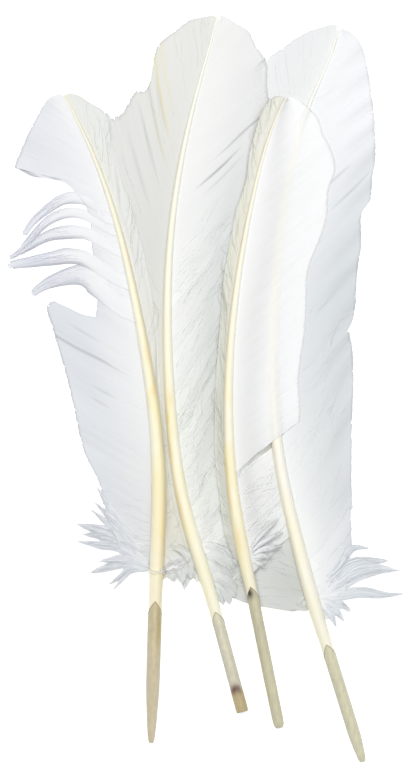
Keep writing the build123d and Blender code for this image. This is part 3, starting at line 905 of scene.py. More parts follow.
def zip_barbs(web, look, side, shares, along, paths, colours, cuts):
    """Adds the vane to the web as the sheets of barbs between its cuts."""
    borders = sorted(cuts)
    for first, last in zip(borders, borders[1:]):
        if last - first < 2:
            continue
        part = paths[first:last + 1].copy()
        paint = colours[first:last + 1].copy()
        away = aside(part, side)
        for border, sense in ((first, 1), (last, -1)):
            if cuts[border] is None:
                continue
            start, dark, overlap = cuts[border]
            shape = np.clip((along - start) / (1 - start), 0, 1) ** 1.4
            steps = np.arange(len(part))[::sense]
            fade = np.exp(-steps / 5)[:, None]
            part[..., :2] -= away * (sense * overlap / 2 * shape * fade)[..., None]
            # Painted shade along the sides of a cut, fading away from it.
            paint = mix(paint, CREASE_SHADE, shape * np.exp(-steps / (1 + 2 * dark))[:, None] * dark)
        for lock_first, lock_last, _, swing in look["locks"]:
            if lock_first <= shares[first] <= lock_last:
                bend = 0.35 * random.uniform(-1, 1) * swing * smoothstep(random.uniform(0.1, 0.4), 1, along)
                wave = 0.15 * swing * np.sin(along * random.uniform(4, 9) + random.uniform(0, 6))
                part[..., :2] += away * (bend + wave * smoothstep(0.03, 0.3, along))[None, :, None]
                rise = random.uniform(0, 0.25) * min(swing, 1.6 * MM)
                part[..., 2] += rise * smoothstep(0.3, 1, along)
                paint = paint * (1 + random.uniform(-0.03, 0.03))
        web.add_lock(part, paint, first)


def make_vane(quill, side):
    """One vane of ribbed, zipped barbs, with its splits, waves and ragged edge."""
    look = VANES[quill, side]
    shares, paths, stretched = trace_vane(quill, side)
    along = np.linspace(0, 1, look["points"])
    if (quill, side) == ("quill_1", "left"):
        sag_corner(paths, shares)
    cover, glow, swell = drape_vane(quill, side, shares, paths, stretched, along)
    lengths = np.linalg.norm(np.diff(paths, axis=1), axis=2).sum(1)
    colours = paint_vane(look, shares, along, lengths, swell, cover, glow)
    if (quill, side) == ("quill_4", "left"):
        colours = mix(colours, linear(NOTCH_SHADE), wedge(paths, "quill_4_left_vane", *NOTCH_SHADOW))
    cuts = unzip(look, shares)
    # Each split is dented and painted with shade along its groove.
    for share, start, end, dark in look["splits"]:
        groove = split_groove(shares, along, share, start, end)
        colours = mix(colours, CREASE_SHADE, dark * groove)
        paths[..., 2] -= GROOVE_DEPTH * groove
    strands = []
    if (quill, side) == ("quill_1", "left"):
        strands = [strand_paths(paths, shares, strand) for strand in STRANDS]
    for rows, _ in strands:
        cuts.setdefault(int(rows[-1]), STRAND_CUT)
    web = Web()
    zip_barbs(web, look, side, shares, along, paths, colours, cuts)
    for patch in FUZZ[quill, side]:
        add_fuzz(web, paths, colours, shares, side, *patch)
    vane = web.build(f"{quill}_{side}_barbs")
    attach(vane, quill)
    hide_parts(f"{quill}_{side}_vane")
    if strands:
        make_strands(strands)
    return vane


# Shades of the loose strands: by the shaft, towards the tip, a painted shade along the edge away
# from the light, along the other rim, and of the hairs on them.
STRAND_SHADES = [(244, 245, 247), (233, 235, 242), (166, 171, 182), (182, 186, 197), (236, 238, 245)]
STRAND_HAIRS = 22


def make_strands(strands):
    """The loose strands as a piece of their own, whose barbs start at the shaft."""
    near, far, edge_shade, rim_shade, hair_shade = (linear(shade) for shade in STRAND_SHADES)
    web = Web()
    for rows, paths in strands:
        barbs, points = paths.shape[:2]
        along = np.linspace(0, 1, points)[None, :]
        across = np.linspace(0, 1, barbs)[:, None]
        colours = mix(near, far, smoothstep(0.35, 0.8, along) * np.ones((barbs, 1)))
        # Painted shade along the edge away from the light, less of it near the tip.
        edge = np.exp(-((across / 0.16) ** 2)) * smoothstep(0.25, 0.5, along)
        colours = mix(colours, edge_shade, 0.8 * edge * (1 - 0.5 * smoothstep(0.8, 1, along)))
        rim = np.exp(-(((1 - across) / 0.13) ** 2)) * smoothstep(0.3, 0.6, along)
        colours = mix(colours, rim_shade, 0.7 * rim)
        streaks = wander(barbs, barbs // 2)[:, None] * smoothstep(0.3, 0.7, along)
        web.add_lock(paths, colours * (1 + 0.05 * streaks)[..., None], int(rows[0]))
        for _ in range(STRAND_HAIRS):
            row = random.integers(0, barbs)
            begin = int(random.uniform(0.45, 0.8) * points)
            path = paths[row, begin:begin + random.integers(8, 16)].copy()
            splay = np.linspace(0, 1, len(path)) ** 2 * random.uniform(-2.2, 2.2) * MM
            path[:, :2] += aside(path[None], "left")[0] * splay[:, None]
            path[:, 2] += 0.25 * MM
            if len(path) > 3:
                web.add_hair(path, HAIR_RADIUS, hair_shade)
    loose = web.build("quill_1_loose_strands")
    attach(loose, "quill_1")
    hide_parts("quill_1_loose_barbs")
    dress(loose, vane_look)


# ---------------------------------------------------------------- down, loose barbs, stray hairs


def curl(start, end, bend, points=4):
    """Curved path from start to end that bows sideways by bend."""
    share = np.linspace(0, 1, points)[:, None]
    run = end - start
    return start + run * share + np.array([-run[1], run[0], 0]) * bend * np.sin(share * math.pi)


# How many fine barbules a plume has, how long they are, and how thick beside its core.
BARBULES = 22
BARBULE_REACH = 1.6 * MM
BARBULE_SIZE = 0.6


def add_plume(web, path, colour):
    """Downy barb: a soft core with fine barbules along both sides."""
    web.add_hair(path, HAIR_RADIUS, colour)
    last = len(path) - 1
    for _ in range(BARBULES):
        place = random.uniform(0.1, 0.98) * last
        low = int(place)
        heading = path[min(low + 1, last)] - path[low]
        spot = path[low] + heading * (place - low)
        heading = heading / (np.linalg.norm(heading) + 1e-12)
        side = random.choice((-1, 1))
        angle = math.radians(random.uniform(18, 50)) * side
        turned = np.array([
            heading[0] * math.cos(angle) - heading[1] * math.sin(angle),
            heading[0] * math.sin(angle) + heading[1] * math.cos(angle),
            random.uniform(-0.2, 0.35),
        ])
        length = BARBULE_REACH * random.uniform(0.5, 1) * (1.1 - 0.6 * place / last)
        shade = colour * random.uniform(0.97, 1.02)
        hair = curl(spot, spot + turned * length, random.uniform(-0.2, 0.2))
        web.add_hair(hair, HAIR_RADIUS * BARBULE_SIZE, shade)


# Tufts of down. Matted locks are a width in mm and a centre line from the shaft to the tip,
# in shares of the CAD tuft's box; blunt ones end broad and merge with their neighbours. The
# shade is a lock's own and the root its shade by the shaft. Plumes are soft barbs over the
# locks, and strays are long pale hairs, as lines in the same box.
TUFTS = {
    ("quill_1", "left"): dict(
        shade=(233, 236, 240), root=(228, 231, 233), plumes=14, blunt=False,
        locks=[
            (3.4, [(0.78, 0.6), (0.46, 0.9), (0.34, 1.06), (0.26, 1.18)]),
            (3.2, [(0.8, 0.56), (0.46, 0.8), (0.33, 0.91), (0.22, 1.0)]),
            (3.6, [(0.86, 0.42), (0.47, 0.7), (0.33, 0.8), (0.18, 0.9)]),
            (4.2, [(0.88, 0.4), (0.5, 0.72), (0.4, 0.83), (0.31, 0.93)]),
            (8.0, [(0.96, 0.26), (0.6, 0.54), (0.3, 0.655), (-0.02, 0.73)]),
            (7.0, [(0.97, 0.25), (0.62, 0.5), (0.35, 0.59), (0.05, 0.6)]),
            (5.0, [(0.97, 0.24), (0.58, 0.46), (0.32, 0.48), (-0.02, 0.53)]),
            (4.4, [(1.0, 0.22), (0.8, 0.3), (0.6, 0.325), (0.28, 0.29)]),
            (5.0, [(1.0, 0.21), (0.82, 0.27), (0.62, 0.275), (0.44, 0.23), (0.14, 0.15)]),
            (4.0, [(1.0, 0.2), (0.74, 0.21), (0.61, 0.12), (0.42, 0.02)]),
            (2.8, [(1.0, 0.2), (0.74, 0.19), (0.62, 0.09), (0.48, -0.05)]),
        ]),
    ("quill_4", "right"): dict(
        shade=(234, 238, 242), root=(240, 242, 244), plumes=18, blunt=False,
        locks=[
            (5.4, [(-0.08, 0.46), (0.2, 0.7), (0.38, 0.96), (0.62, 0.97)]),
            (8.0, [(-0.06, 0.36), (0.34, 0.72), (0.6, 0.8), (0.86, 0.81)]),
            (8.0, [(-0.04, 0.32), (0.38, 0.62), (0.68, 0.7), (0.98, 0.69)]),
            (5.6, [(-0.04, 0.34), (0.2, 0.37), (0.48, 0.42), (0.77, 0.385), (1.03, 0.4)]),
            (4.6, [(-0.03, 0.34), (0.2, 0.29), (0.38, 0.17)]),
            (4.0, [(-0.02, 0.33), (0.16, 0.21), (0.3, 0.04)]),
            (3.4, [(-0.02, 0.3), (0.12, 0.15), (0.2, -0.03)]),
        ]),
    ("quill_1", "right"): dict(
        shade=(228, 230, 228), root=(226, 225, 216), plumes=10, blunt=True,
        locks=[
            (7.4, [(-0.06, 1.2), (0.1, 1.02), (0.3, 0.76), (0.42, 0.4)]),
            (6.4, [(-0.04, 1.33), (0.36, 1.16), (0.58, 0.84), (0.7, 0.32)]),
            (6.0, [(-0.02, 1.38), (0.47, 1.28), (0.82, 0.96), (1.0, 0.46)]),
            (5.0, [(-0.02, 1.42), (0.55, 1.38), (0.92, 1.1), (1.08, 0.72)]),
        ],
        strays=[[(-0.46, 0.72), (-0.18, 0.69), (0.15, 0.81), (0.54, 0.9), (0.93, 1.08)],
                [(-0.43, 0.83), (-0.15, 0.75), (0.18, 0.78), (0.6, 0.96), (0.97, 1.16)],
                [(-0.05, 0.71), (0.34, 0.87), (0.74, 0.9)], [(-0.02, 0.78), (0.28, 0.96), (0.7, 1.1)],
                [(0.05, 0.68), (0.47, 0.78), (0.84, 1.0)]]),
    ("quill_2", "left"): dict(
        shade=(233, 235, 234), root=(233, 234, 231), plumes=8, blunt=True,
        locks=[
            (5.2, [(0.78, 1.12), (0.48, 0.84), (0.3, 0.52), (0.24, 0.12)]),
            (4.4, [(0.84, 0.96), (0.6, 0.7), (0.48, 0.42)]),
            (2.8, [(0.9, 0.78), (0.76, 0.56), (0.7, 0.34)]),
        ]),
    ("quill_2", "right"): dict(
        shade=(218, 221, 219), root=(230, 233, 231), plumes=12, blunt=True,
        locks=[
            (7.0, [(-0.12, 0.95), (0.1, 0.62), (0.24, 0.34), (0.4, 0.08)]),
            (3.6, [(0.2, 0.36), (0.4, 0.22), (0.5, 0.02)]),
            (5.2, [(0.16, 0.46), (0.44, 0.36), (0.62, 0.2), (0.74, 0.03)]),
            (6.4, [(0.04, 0.66), (0.4, 0.56), (0.7, 0.4), (0.92, 0.16)]),
            (7.0, [(-0.06, 0.86), (0.33, 0.76), (0.7, 0.6), (0.98, 0.36)]),
            (7.0, [(-0.14, 1.02), (0.26, 0.97), (0.66, 0.82), (0.95, 0.6)]),
            (7.0, [(-0.18, 1.2), (0.22, 1.18), (0.64, 1.03), (0.95, 0.82)]),
        ]),
    ("quill_3", "left"): dict(
        shade=(230, 233, 231), root=(234, 236, 233), plumes=8, blunt=True,
        locks=[
            (4.6, [(1.16, 0.96), (0.86, 0.7), (0.58, 0.52), (0.3, 0.38)]),
            (4.6, [(1.22, 0.7), (0.92, 0.46), (0.68, 0.2), (0.44, 0.06)]),
            (3.4, [(1.3, 0.46), (1.06, 0.2), (0.88, 0.0)]),
        ]),
    ("quill_3", "right"): dict(
        shade=(240, 243, 244), root=(240, 243, 243), plumes=44, blunt=False,
        locks=[
            (1.8, [(0.1, 0.5), (0.3, 0.44), (0.5, 0.3)]),
            (2.2, [(0.06, 0.62), (0.32, 0.68), (0.6, 0.64)]),
            (2.2, [(0.05, 0.7), (0.34, 0.86), (0.66, 0.92), (0.95, 0.95)]),
            (2.0, [(0.03, 0.8), (0.3, 1.04), (0.6, 1.2), (0.98, 1.36)]),
            (1.8, [(0.02, 0.9), (0.24, 1.2), (0.5, 1.45), (0.86, 1.78)]),
        ]),
    ("quill_4", "left"): dict(
        shade=(224, 227, 225), root=(222, 225, 223), plumes=4, blunt=True,
        locks=[
            (2.6, [(1.0, 0.86), (0.76, 0.72), (0.56, 0.58), (0.4, 0.46)]),
            (2.6, [(1.06, 0.72), (0.86, 0.58), (0.68, 0.47), (0.56, 0.38)]),
            (2.0, [(1.1, 0.6), (0.94, 0.47), (0.8, 0.36)]),
        ]),
}


# How far beside a shaft down still lies on it, in half widths and in their square, and how
# clear of what is beneath it down stays.
CROWN_EDGE = 1.05
CROWN_BULGE = 1.2
DOWN_REST = 0.35 * MM


def shaft_crown(shaft, x, y):
    """Height of a shaft's upper side at a point, or far below it beside the shaft."""
    centre, level, half = (np.interp(y, shaft.y, row) for row in (shaft.x, shaft.z, shaft.half))
    off = abs(x - centre) / half
    return level + half * math.sqrt(CROWN_BULGE - off**2) if off < CROWN_EDGE else -1.0


def rest_on(quill, x, y, z):
    """Height of down that droops onto the highest vane or other shaft below a point."""
    heights = [sheet.height(x, y) for sheet in sheets.values()]
    below = [height for height in heights if height is not None and height < z + 0.5 * MM]
    below += [shaft_crown(shafts[other], x, y) for other in QUILLS if other != quill]
    return min(z, max(below) + DOWN_REST) if max(below) > -1 else z


def add_matted_lock(web, quill, side, sheet, look, number, width, points):
    """One lock of a tuft, as a sheet of matted barbs with hairs along it."""
    centre = smooth_path(points, 22)
    along = np.linspace(0, 1, len(centre))
    heights = [sheet.height(x, y) for x, y, _ in centre]
    known = [index for index, height in enumerate(heights) if height is not None]
    if known:
        places = np.arange(len(centre))
        centre[:, 2] = np.interp(places, known, [heights[index] for index in known])
    centre[:, 2] = smooth_row(np.array([rest_on(quill, *spot) for spot in centre]), 2)
    centre[:, 2] += LOCK_STEP * (number % 4)
    across = aside(centre[None], side)[0]
    bulge, point = BLUNT_SHAPE if look["blunt"] else POINTED_SHAPE
    spread = width * MM * np.sin(0.1 + bulge * along**0.7) * (1 - along**point)
    barbs = 5 + int(width * 2)
    paths = []
    for barb in range(barbs):
        place = barb / (barbs - 1) - 0.5
        line = centre.copy()
        wobble = 0.25 * MM * wander(len(centre), 6) * along
        line[:, :2] += across * (place * spread + wobble)[:, None]
        line[:, 2] += 0.55 * MM * math.cos(place * 3) - 0.35 * MM
        reach = 1 - 0.25 * random.random() * abs(place) - 0.04 * random.random()
        paths.append(resample(line, len(centre), reach))
    paths = np.array(paths)
    shade = linear(look["shade"])
    fade = smoothstep(0.1, 0.5, along) * np.ones((barbs, 1))
    colours = mix(linear(look["root"]), shade, fade) * (1 + 0.03 * wander(barbs, barbs)[:, None, None])
    web.add_lock(paths, colours, number * 20)
    for _ in range(int(width * (3 if look["blunt"] else 7))):
        begin = int(random.uniform(0.2, 0.75) * len(centre))
        path = paths[random.integers(0, barbs), begin:begin + random.integers(6, 14)].copy()
        if len(path) < 4:
            continue
        splay = np.linspace(0, 1, len(path)) ** 2 * random.uniform(-1.6, 1.6) * MM
        path[:, :2] += aside(path[None], side)[0] * splay[:, None]
        path[:, 2] += 0.2 * MM
        web.add_hair(path, HAIR_RADIUS, shade * random.uniform(0.97, 1.08))


def add_stray(web, shaft, top, points):
    """A long pale hair with its twins, over the tuft and the shaft."""
    stray = smooth_path(points, 16)
    for spot in stray:
        spot[2] = max(top, shaft_crown(shaft, *spot[:2])) + STRAY_CLEARANCE
    web.add_hair(stray, HAIR_RADIUS * 3, linear((255, 255, 252)))
    for _ in range(4):
        twin = stray[random.integers(4, 7):] + np.array([*random.uniform(-0.9, 0.9, 2), 0.1]) * MM
        web.add_hair(twin, HAIR_RADIUS * 2.4, linear((255, 255, 255)))


# How the width of a lock runs, as the turn of its sine and the power of its end, how far
# each lock lies over the last, and how clear a stray hair is of all below it.
BLUNT_SHAPE = (2.3, 7)
POINTED_SHAPE = (2.62, 5)
LOCK_STEP = 0.12 * MM
STRAY_CLEARANCE = 0.5 * MM


def make_down(quill, side):
    """Tuft of down: matted locks with ragged points, soft plumes and stray hairs over them."""
    node = f"{quill}_{side}_down"
    sheet = Sheet(node)
    look = TUFTS[quill, side]
    low, size = sheet.low, sheet.high - sheet.low
    level = (sheet.low[2] + sheet.high[2]) / 2

    def in_box(points):
        return [(low[0] + size[0] * x, low[1] + size[1] * y, level) for x, y in points]

    web = Web()
    locks = [(width, in_box(points)) for width, points in look["locks"]]
    for number, (width, points) in enumerate(locks):
        add_matted_lock(web, quill, side, sheet, look, number, width, points)
    for _ in range(look["plumes"]):
        width, points = locks[random.integers(0, len(locks))]
        centre = smooth_path(points, 10)[random.integers(0, 4):]
        centre[:, :2] += aside(centre[None], side)[0] * (random.uniform(-0.6, 0.6) * width * MM)
        centre[:, 2] += random.uniform(0.2, 0.5) * MM
        path = resample(centre, 8, random.uniform(0.6, 1))
        add_plume(web, path, linear(look["root"]) * random.uniform(0.95, 1.05))
    for points in look.get("strays", []):
        add_stray(web, shafts[quill], sheet.high[2], in_box(points))
    down = web.build(f"{quill}_{side}_fluff")
    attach(down, quill)
    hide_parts(node)
    return down


# ---------------------------------------------------------------- shafts and barrels


def tube(name, rings, colours):
    """Closed tube from rings of points, each ring the same number of points."""
    rings = np.asarray(rings)
    count, sides = rings.shape[:2]
    corners = rings.reshape(-1, 3).tolist()
    paint = np.asarray(colours).reshape(-1, 3).tolist()
    faces = []
    for ring in range(count - 1):
        for side in range(sides):
            a = ring * sides + side
            b = ring * sides + (side + 1) % sides
            faces.append((a, b, b + sides, a + sides))
    for ring, order in ((0, -1), (count - 1, 1)):
        centre = len(corners)
        corners.append(rings[ring].mean(0).tolist())
        paint.append(np.mean(paint[ring * sides:(ring + 1) * sides], axis=0).tolist())
        for side in range(sides):
            a = ring * sides + side
            b = ring * sides + (side + 1) % sides
            faces.append((a, b, centre)[::order])
    return new_object(name, corners, faces, np.array(paint))


# Shafts: points round a ring, rings along it, how much amber shows in each, and its stains as
# (share of the length, place across, reach along it).
AROUND = 30
SHAFT_RINGS = 260
AMBER = linear((253, 238, 168))
WARMTH = {"quill_1": 0.4, "quill_2": 0.35, "quill_3": 0.35, "quill_4": 0.15}
STAIN = linear((242, 204, 122))
STAINS = {
    "quill_1": [(0.485, 0.35, 5 * MM), (0.43, 0.75, 3.5 * MM), (0.415, 0.3, 2.5 * MM),
                (0.16, 0.85, 16 * MM)],
    "quill_2": [(0.37, 0.0, 4 * MM), (0.285, -0.75, 5 * MM), (0.2, -0.7, 9 * MM),
                (0.34, -0.7, 3 * MM)],
    "quill_3": [(0.12, -0.3, 7 * MM), (0.2, -0.75, 8 * MM), (0.26, -0.8, 5 * MM)],
    "quill_4": [],
}
# Barrels: rings along the horn, how far its rim stands off the shaft and swells at its edge,
# how far its tongue runs up the shaft and its rim dips beside it, and the wall and depth of
# an open end.
BARREL_RINGS = 90
RIM = 0.08 * MM
RIM_SWELL = 0.12 * MM
TONGUE = 5.0 * MM
RIM_DIP = 0.7 * MM
TONGUE_SPAN = 0.42
HORN_WALL = 0.5 * MM
BORE_DEPTH = 14 * MM
# Shades of a barrel along its middle and round its edges.
HORN = {
    "quill_1": ((219, 205, 171), (206, 200, 180)),
    "quill_2": ((226, 221, 196), (208, 205, 190)),
    "quill_3": ((214, 208, 176), (202, 198, 174)),
    "quill_4": ((222, 217, 186), (204, 202, 181)),
}


# Marks on the horn: the dark line of its rim, an amber wash on the first barrel, a burnt spot
# at the top of the third, and the brown end of the second with a scorched ring above it.
RIM_LINE = linear((158, 138, 100))
AMBER_WASH = linear((186, 168, 112))
BURNT = linear((60, 54, 48))
BROWN_END = linear((190, 172, 124))
SCORCH = linear((104, 66, 62))


def barrel_profile(quill, count):
    """Distances down the barrel, its radius there and its end, from slices of its CAD node."""
    start, axis, _ = stem(quill)
    corners, edges = node_edges(f"{quill}_barrel")
    along = (corners - start) @ axis
    end = along.max()
    distances = np.linspace(0.5 * MM, end - 0.15 * MM, count)
    radii = []
    for distance in distances:
        points = slice_points(corners, edges, along, distance)
        offset = points - start - np.outer((points - start) @ axis, axis)
        radii.append(np.linalg.norm(offset, axis=1).max())
    return distances, np.array(radii), end


def ring_axes(tangent):
    """Level sideways and upward directions square to a tangent."""
    tangent = tangent / np.linalg.norm(tangent)
    sideways = np.cross(tangent, (0, 0, 1.0))
    sideways /= np.linalg.norm(sideways)
    return sideways, np.cross(sideways, tangent)


def ring_round(centre, tangent, angles, size):
    """Ring of points round a centre, square to a tangent, with a size for each angle."""
    sideways, upward = ring_axes(tangent)
    return centre + np.outer(np.cos(angles) * size, sideways) + np.outer(np.sin(angles) * size, upward)


# Colours of a shaft at its left edge, middle and right edge, at three shares of its length: its
# own cream and yellow, with painted highlight and painted shade where light fell on one side more
# than the other.
SHADE_PLACES = (0.02, 0.35, 0.9)
SHAFT_TONES_AND_SIDE_LIGHT = {
    "quill_1": [((255, 249, 224), (254, 245, 212), (240, 230, 200)),
                ((255, 254, 234), (253, 247, 212), (234, 222, 184)),
                ((251, 249, 236), (246, 241, 218), (238, 234, 214))],
    "quill_2": [((252, 248, 222), (255, 251, 226), (255, 254, 236)),
                ((247, 241, 214), (253, 247, 220), (255, 253, 236)),
                ((242, 242, 230), (252, 251, 238), (251, 250, 240))],
    "quill_3": [((250, 243, 208), (255, 249, 222), (250, 243, 220)),
                ((236, 230, 206), (253, 248, 224), (255, 254, 240)),
                ((228, 224, 202), (250, 245, 224), (254, 253, 244))],
    "quill_4": [((248, 244, 222), (254, 251, 230), (248, 243, 224)),
                ((244, 240, 224), (252, 249, 236), (254, 252, 244)),
                ((248, 248, 238), (252, 251, 243), (252, 252, 248))],
}


def make_shaft(quill):
    """The shaft: an oval rod with a shallow groove along its upper side, tapering to the tip."""
    shaft = shafts[quill]
    lengths = np.linspace(0, shaft.length[-1], SHAFT_RINGS)
    centres = np.array([shaft.place(distance) for distance in lengths])
    end = centres[-1] - centres[-2]
    centres = np.vstack([centres, centres[-1] + end / np.linalg.norm(end) * 0.5 * MM])
    halves = np.append(shaft.at(lengths, shaft.half), shaft.half[-1] * 0.6)
    shares = np.append(lengths / lengths[-1], 1)
    tangents = np.gradient(centres, axis=0)
    angles = np.linspace(0, 2 * math.pi, AROUND, endpoint=False)
    across, height = np.cos(angles), np.sin(angles)
    shades = np.array([[linear(shade) for shade in row] for row in SHAFT_TONES_AND_SIDE_LIGHT[quill]])
    patches = weave(len(centres), AROUND, 26, 4)
    rings, colours = [], []
    for index, (centre, tangent, half, share) in enumerate(zip(centres, tangents, halves, shares)):
        sideways, upward = ring_axes(tangent)
        dent = 0.14 * half * smoothstep(0.03, 0.2, share) * np.exp(-((across / 0.3) ** 2)) * (height > 0)
        level = height * half * 0.95 - dent
        rings.append(centre + np.outer(across * half, sideways) + np.outer(level, upward))
        # Colour across the shaft runs from the left edge to the middle to the right, with painted highlight
        # and shade on the sides.
        left, middle, right = (
            np.array([np.interp(share, SHADE_PLACES, shades[:, part, channel]) for channel in range(3)])
            for part in range(3))
        shade = mix(left, middle, smoothstep(-1, 0, across))
        shade = mix(shade, right, smoothstep(0, 1, across))
        warmth = np.clip(0.5 + patches[index], 0, 1) * WARMTH[quill] * smoothstep(0.02, 0.12, share)
        colours.append(mix(shade, AMBER, warmth * (1 - smoothstep(0.3, 0.6, share))))
    colours = np.array(colours)
    lengths = np.append(lengths, lengths[-1])
    for share, place, reach in STAINS[quill]:
        spread = np.exp(-(((lengths - share * lengths[-1]) / reach) ** 2))
        spot = np.exp(-(((across - place) / 0.4) ** 2)) * (height > -0.4)
        colours = mix(colours, STAIN, 0.38 * np.outer(spread, spot))
    rod = tube(f"{quill}_rachis", rings, colours)
    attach(rod, quill)
    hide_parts(f"{quill}_shaft")
    return rod


def arch(angles, share):
    """Pointed arch over the top of a ring: 1 at its peak, 0 round the sides and below."""
    from_top = np.abs((angles - math.pi / 2 + math.pi) % (2 * math.pi) - math.pi)
    return np.clip(1 - from_top / (share * math.pi), 0, 1) ** 0.85


def horn_shades(quill, angles, run, rim, share, grain, patch, open_end):
    """Colours round one ring of the horn, from how far down the barrel each point is."""
    base, edge = (linear(shade) for shade in HORN[quill])
    across = np.cos(angles)
    shade = mix(base, edge, np.abs(across) ** 1.5)
    shade = shade * (1 + 0.05 * grain + 0.04 * patch)[:, None]
    shade = mix(shade, RIM_LINE, 0.7 * np.clip(1 - (run + rim) / (1.0 * MM), 0, 1))
    if quill == "quill_1":
        amber = np.exp(-(((run - 7 * MM) / (14 * MM)) ** 2)) * np.clip(0.8 + grain, 0, 1)
        shade = mix(shade, AMBER_WASH, 0.75 * amber)
    if quill == "quill_3":
        burnt = np.exp(-(((run + 2 * MM) / (2.4 * MM)) ** 2))
        shade = mix(shade, BURNT, burnt * np.exp(-(((across + 0.35) / 0.6) ** 2)))
    if open_end:
        brown = 0.85 * smoothstep(0.74, 0.82, share) * np.ones(len(angles))
        shade = mix(shade, BROWN_END, brown)
        scorch = np.exp(-(((share - 0.78) / 0.045) ** 2)) * np.exp(-(((across + 0.15) / 0.85) ** 4))
        shade = mix(shade, SCORCH, 0.9 * scorch)
    return shade


def make_barrel(quill):
    """Horn barrel, whose thin upper rim runs up the shaft in a pointed arch."""
    shaft = shafts[quill]
    start, axis, radius = stem(quill)
    distances, radii, end = barrel_profile(quill, 70)
    radii = np.maximum.accumulate(radii[::-1])[::-1]
    open_end = radii[-1] > 0.9 * radius
    angles = np.linspace(0, 2 * math.pi, 2 * AROUND, endpoint=False)
    peak = arch(angles, TONGUE_SPAN)
    rim = TONGUE * peak * (1 + 0.04 * wander(len(angles), 9)) - RIM_DIP * (1 - peak)
    shares = np.linspace(0, 1, BARREL_RINGS)
    grain = wander(len(angles), 22) * 0.6 + wander(len(angles), 9) * 0.4
    patches = wander(len(shares), 12)
    up_shaft = shaft.place(4 * MM) - shaft.place(0)
    rings, colours = [], []
    for inner, index in [(True, 0), *[(False, index) for index in range(len(shares))]]:
        share = shares[index]
        run = -rim + (end + rim) * share**1.1
        ring = []
        for angle, distance, reach in zip(angles, run, rim):
            if distance < 0:
                centre, tangent = shaft.place(-distance), up_shaft
                half = shaft.at(-distance, shaft.half)
            else:
                centre, tangent = start + axis * distance, -axis
                half = np.interp(distance, distances, radii)
            lip = RIM + RIM_SWELL * math.exp(-(((distance + reach) / (0.6 * MM)) ** 2))
            size = half - 0.3 * MM if inner else half + lip
            ring.append(ring_round(centre, tangent, angle, size)[0])
        rings.append(ring)
        colours.append(horn_shades(quill, angles, run, rim, share, grain, patches[index], open_end))
    if open_end:
        # The bore of an open end is painted darker the deeper it runs: painted shade inside the hollow.
        edge = linear(HORN[quill][1])
        for depth in (0, 6 * MM, BORE_DEPTH):
            centre = start + axis * (end - depth)
            rings.append(ring_round(centre, -axis, angles, radii[-1] - HORN_WALL))
            colours.append(np.broadcast_to(edge * (0.6 - 0.4 * depth / BORE_DEPTH), (len(angles), 3)))
    barrel = tube(f"{quill}_horn", np.array(rings), np.array(colours))
    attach(barrel, quill)
    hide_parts(f"{quill}_barrel")
    return barrel


# ---------------------------------------------------------------- materials


def new_material(name, roughness, sheen=0):
    """Principled material and the parts of its node tree."""
    material = bpy.data.materials.new(name)
    material.use_nodes = True
    nodes, links = material.node_tree.nodes, material.node_tree.links
    shader = nodes["Principled BSDF"]
    shader.inputs["Roughness"].default_value = roughness
    shader.inputs["Sheen Weight"].default_value = sheen
    return material, nodes, links, shader


def noise(nodes, links, place, scales, detail):
    """Noise texture over a place, scaled by different amounts along its axes."""
    mapping = nodes.new("ShaderNodeMapping")
    mapping.inputs["Scale"].default_value = scales
    links.new(place, mapping.inputs["Vector"])
    texture = nodes.new("ShaderNodeTexNoise")
    texture.inputs["Scale"].default_value = 1
    texture.inputs["Detail"].default_value = detail
    links.new(mapping.outputs["Vector"], texture.inputs["Vector"])
    return texture.outputs["Fac"]


def varied(nodes, links, colour, factor, dark, light):
    """Colour output multiplied by a grey that goes from dark to light with a factor."""
    ramp = nodes.new("ShaderNodeMapRange")
    ramp.inputs["From Min"].default_value = 0.3
    ramp.inputs["From Max"].default_value = 0.7
    ramp.inputs["To Min"].default_value = dark
    ramp.inputs["To Max"].default_value = light
    links.new(factor, ramp.inputs["Value"])
    product = nodes.new("ShaderNodeVectorMath")
    product.operation = "SCALE"
    links.new(colour, product.inputs[0])
    links.new(ramp.outputs["Result"], product.inputs["Scale"])
    return product.outputs["Vector"]


def bump(nodes, links, shader, height, distance):
    """Relief on the shader's normal from a height output."""
    node = nodes.new("ShaderNodeBump")
    node.inputs["Distance"].default_value = distance
    node.inputs["Strength"].default_value = 0.6
    links.new(height, node.inputs["Height"])
    links.new(node.outputs["Normal"], shader.inputs["Normal"])


def tinted_material(name, roughness, sheen, layers, relief=None, on_barbs=False):
    """Material with the mesh's own tint, varied by layers of noise, with relief from noise.

    A layer is (scales along the axes, detail, darkest, lightest) and the relief is (scales,
    detail, depth). The axes are the object's, or else run along and across each barb.
    """
    material, nodes, links, shader = new_material(name, roughness, sheen)
    tint = nodes.new("ShaderNodeAttribute")
    tint.attribute_name = "tint"
    colour = tint.outputs["Color"]
    if on_barbs:
        strand = nodes.new("ShaderNodeUVMap")
        strand.uv_map = "strand"
        place = strand.outputs["UV"]
    else:
        place = nodes.new("ShaderNodeTexCoord").outputs["Object"]
    for scales, detail, dark, light in layers:
        colour = varied(nodes, links, colour, noise(nodes, links, place, scales, detail), dark, light)
    links.new(colour, shader.inputs["Base Color"])
    if relief:
        scales, detail, depth = relief
        bump(nodes, links, shader, noise(nodes, links, place, scales, detail), depth)
    return material


def hidden_material(name, colour, scale):
    """Matt foam-like stuff for the pulp caps and the pith."""
    material, nodes, links, shader = new_material(name, 0.8)
    shades = nodes.new("ShaderNodeValToRGB")
    shades.color_ramp.elements[0].color = (*(linear(colour) * 0.8), 1)
    shades.color_ramp.elements[1].color = (*linear(colour), 1)
    place = nodes.new("ShaderNodeTexCoord").outputs["Object"]
    cells = noise(nodes, links, place, (scale, scale, scale), 3)
    links.new(cells, shades.inputs["Fac"])
    links.new(shades.outputs["Color"], shader.inputs["Base Color"])
    bump(nodes, links, shader, cells, 0.1 * MM)
    return material


def dress(obj, material):
    """Gives an object one material."""
    obj.data.materials.clear()
    obj.data.materials.append(material)


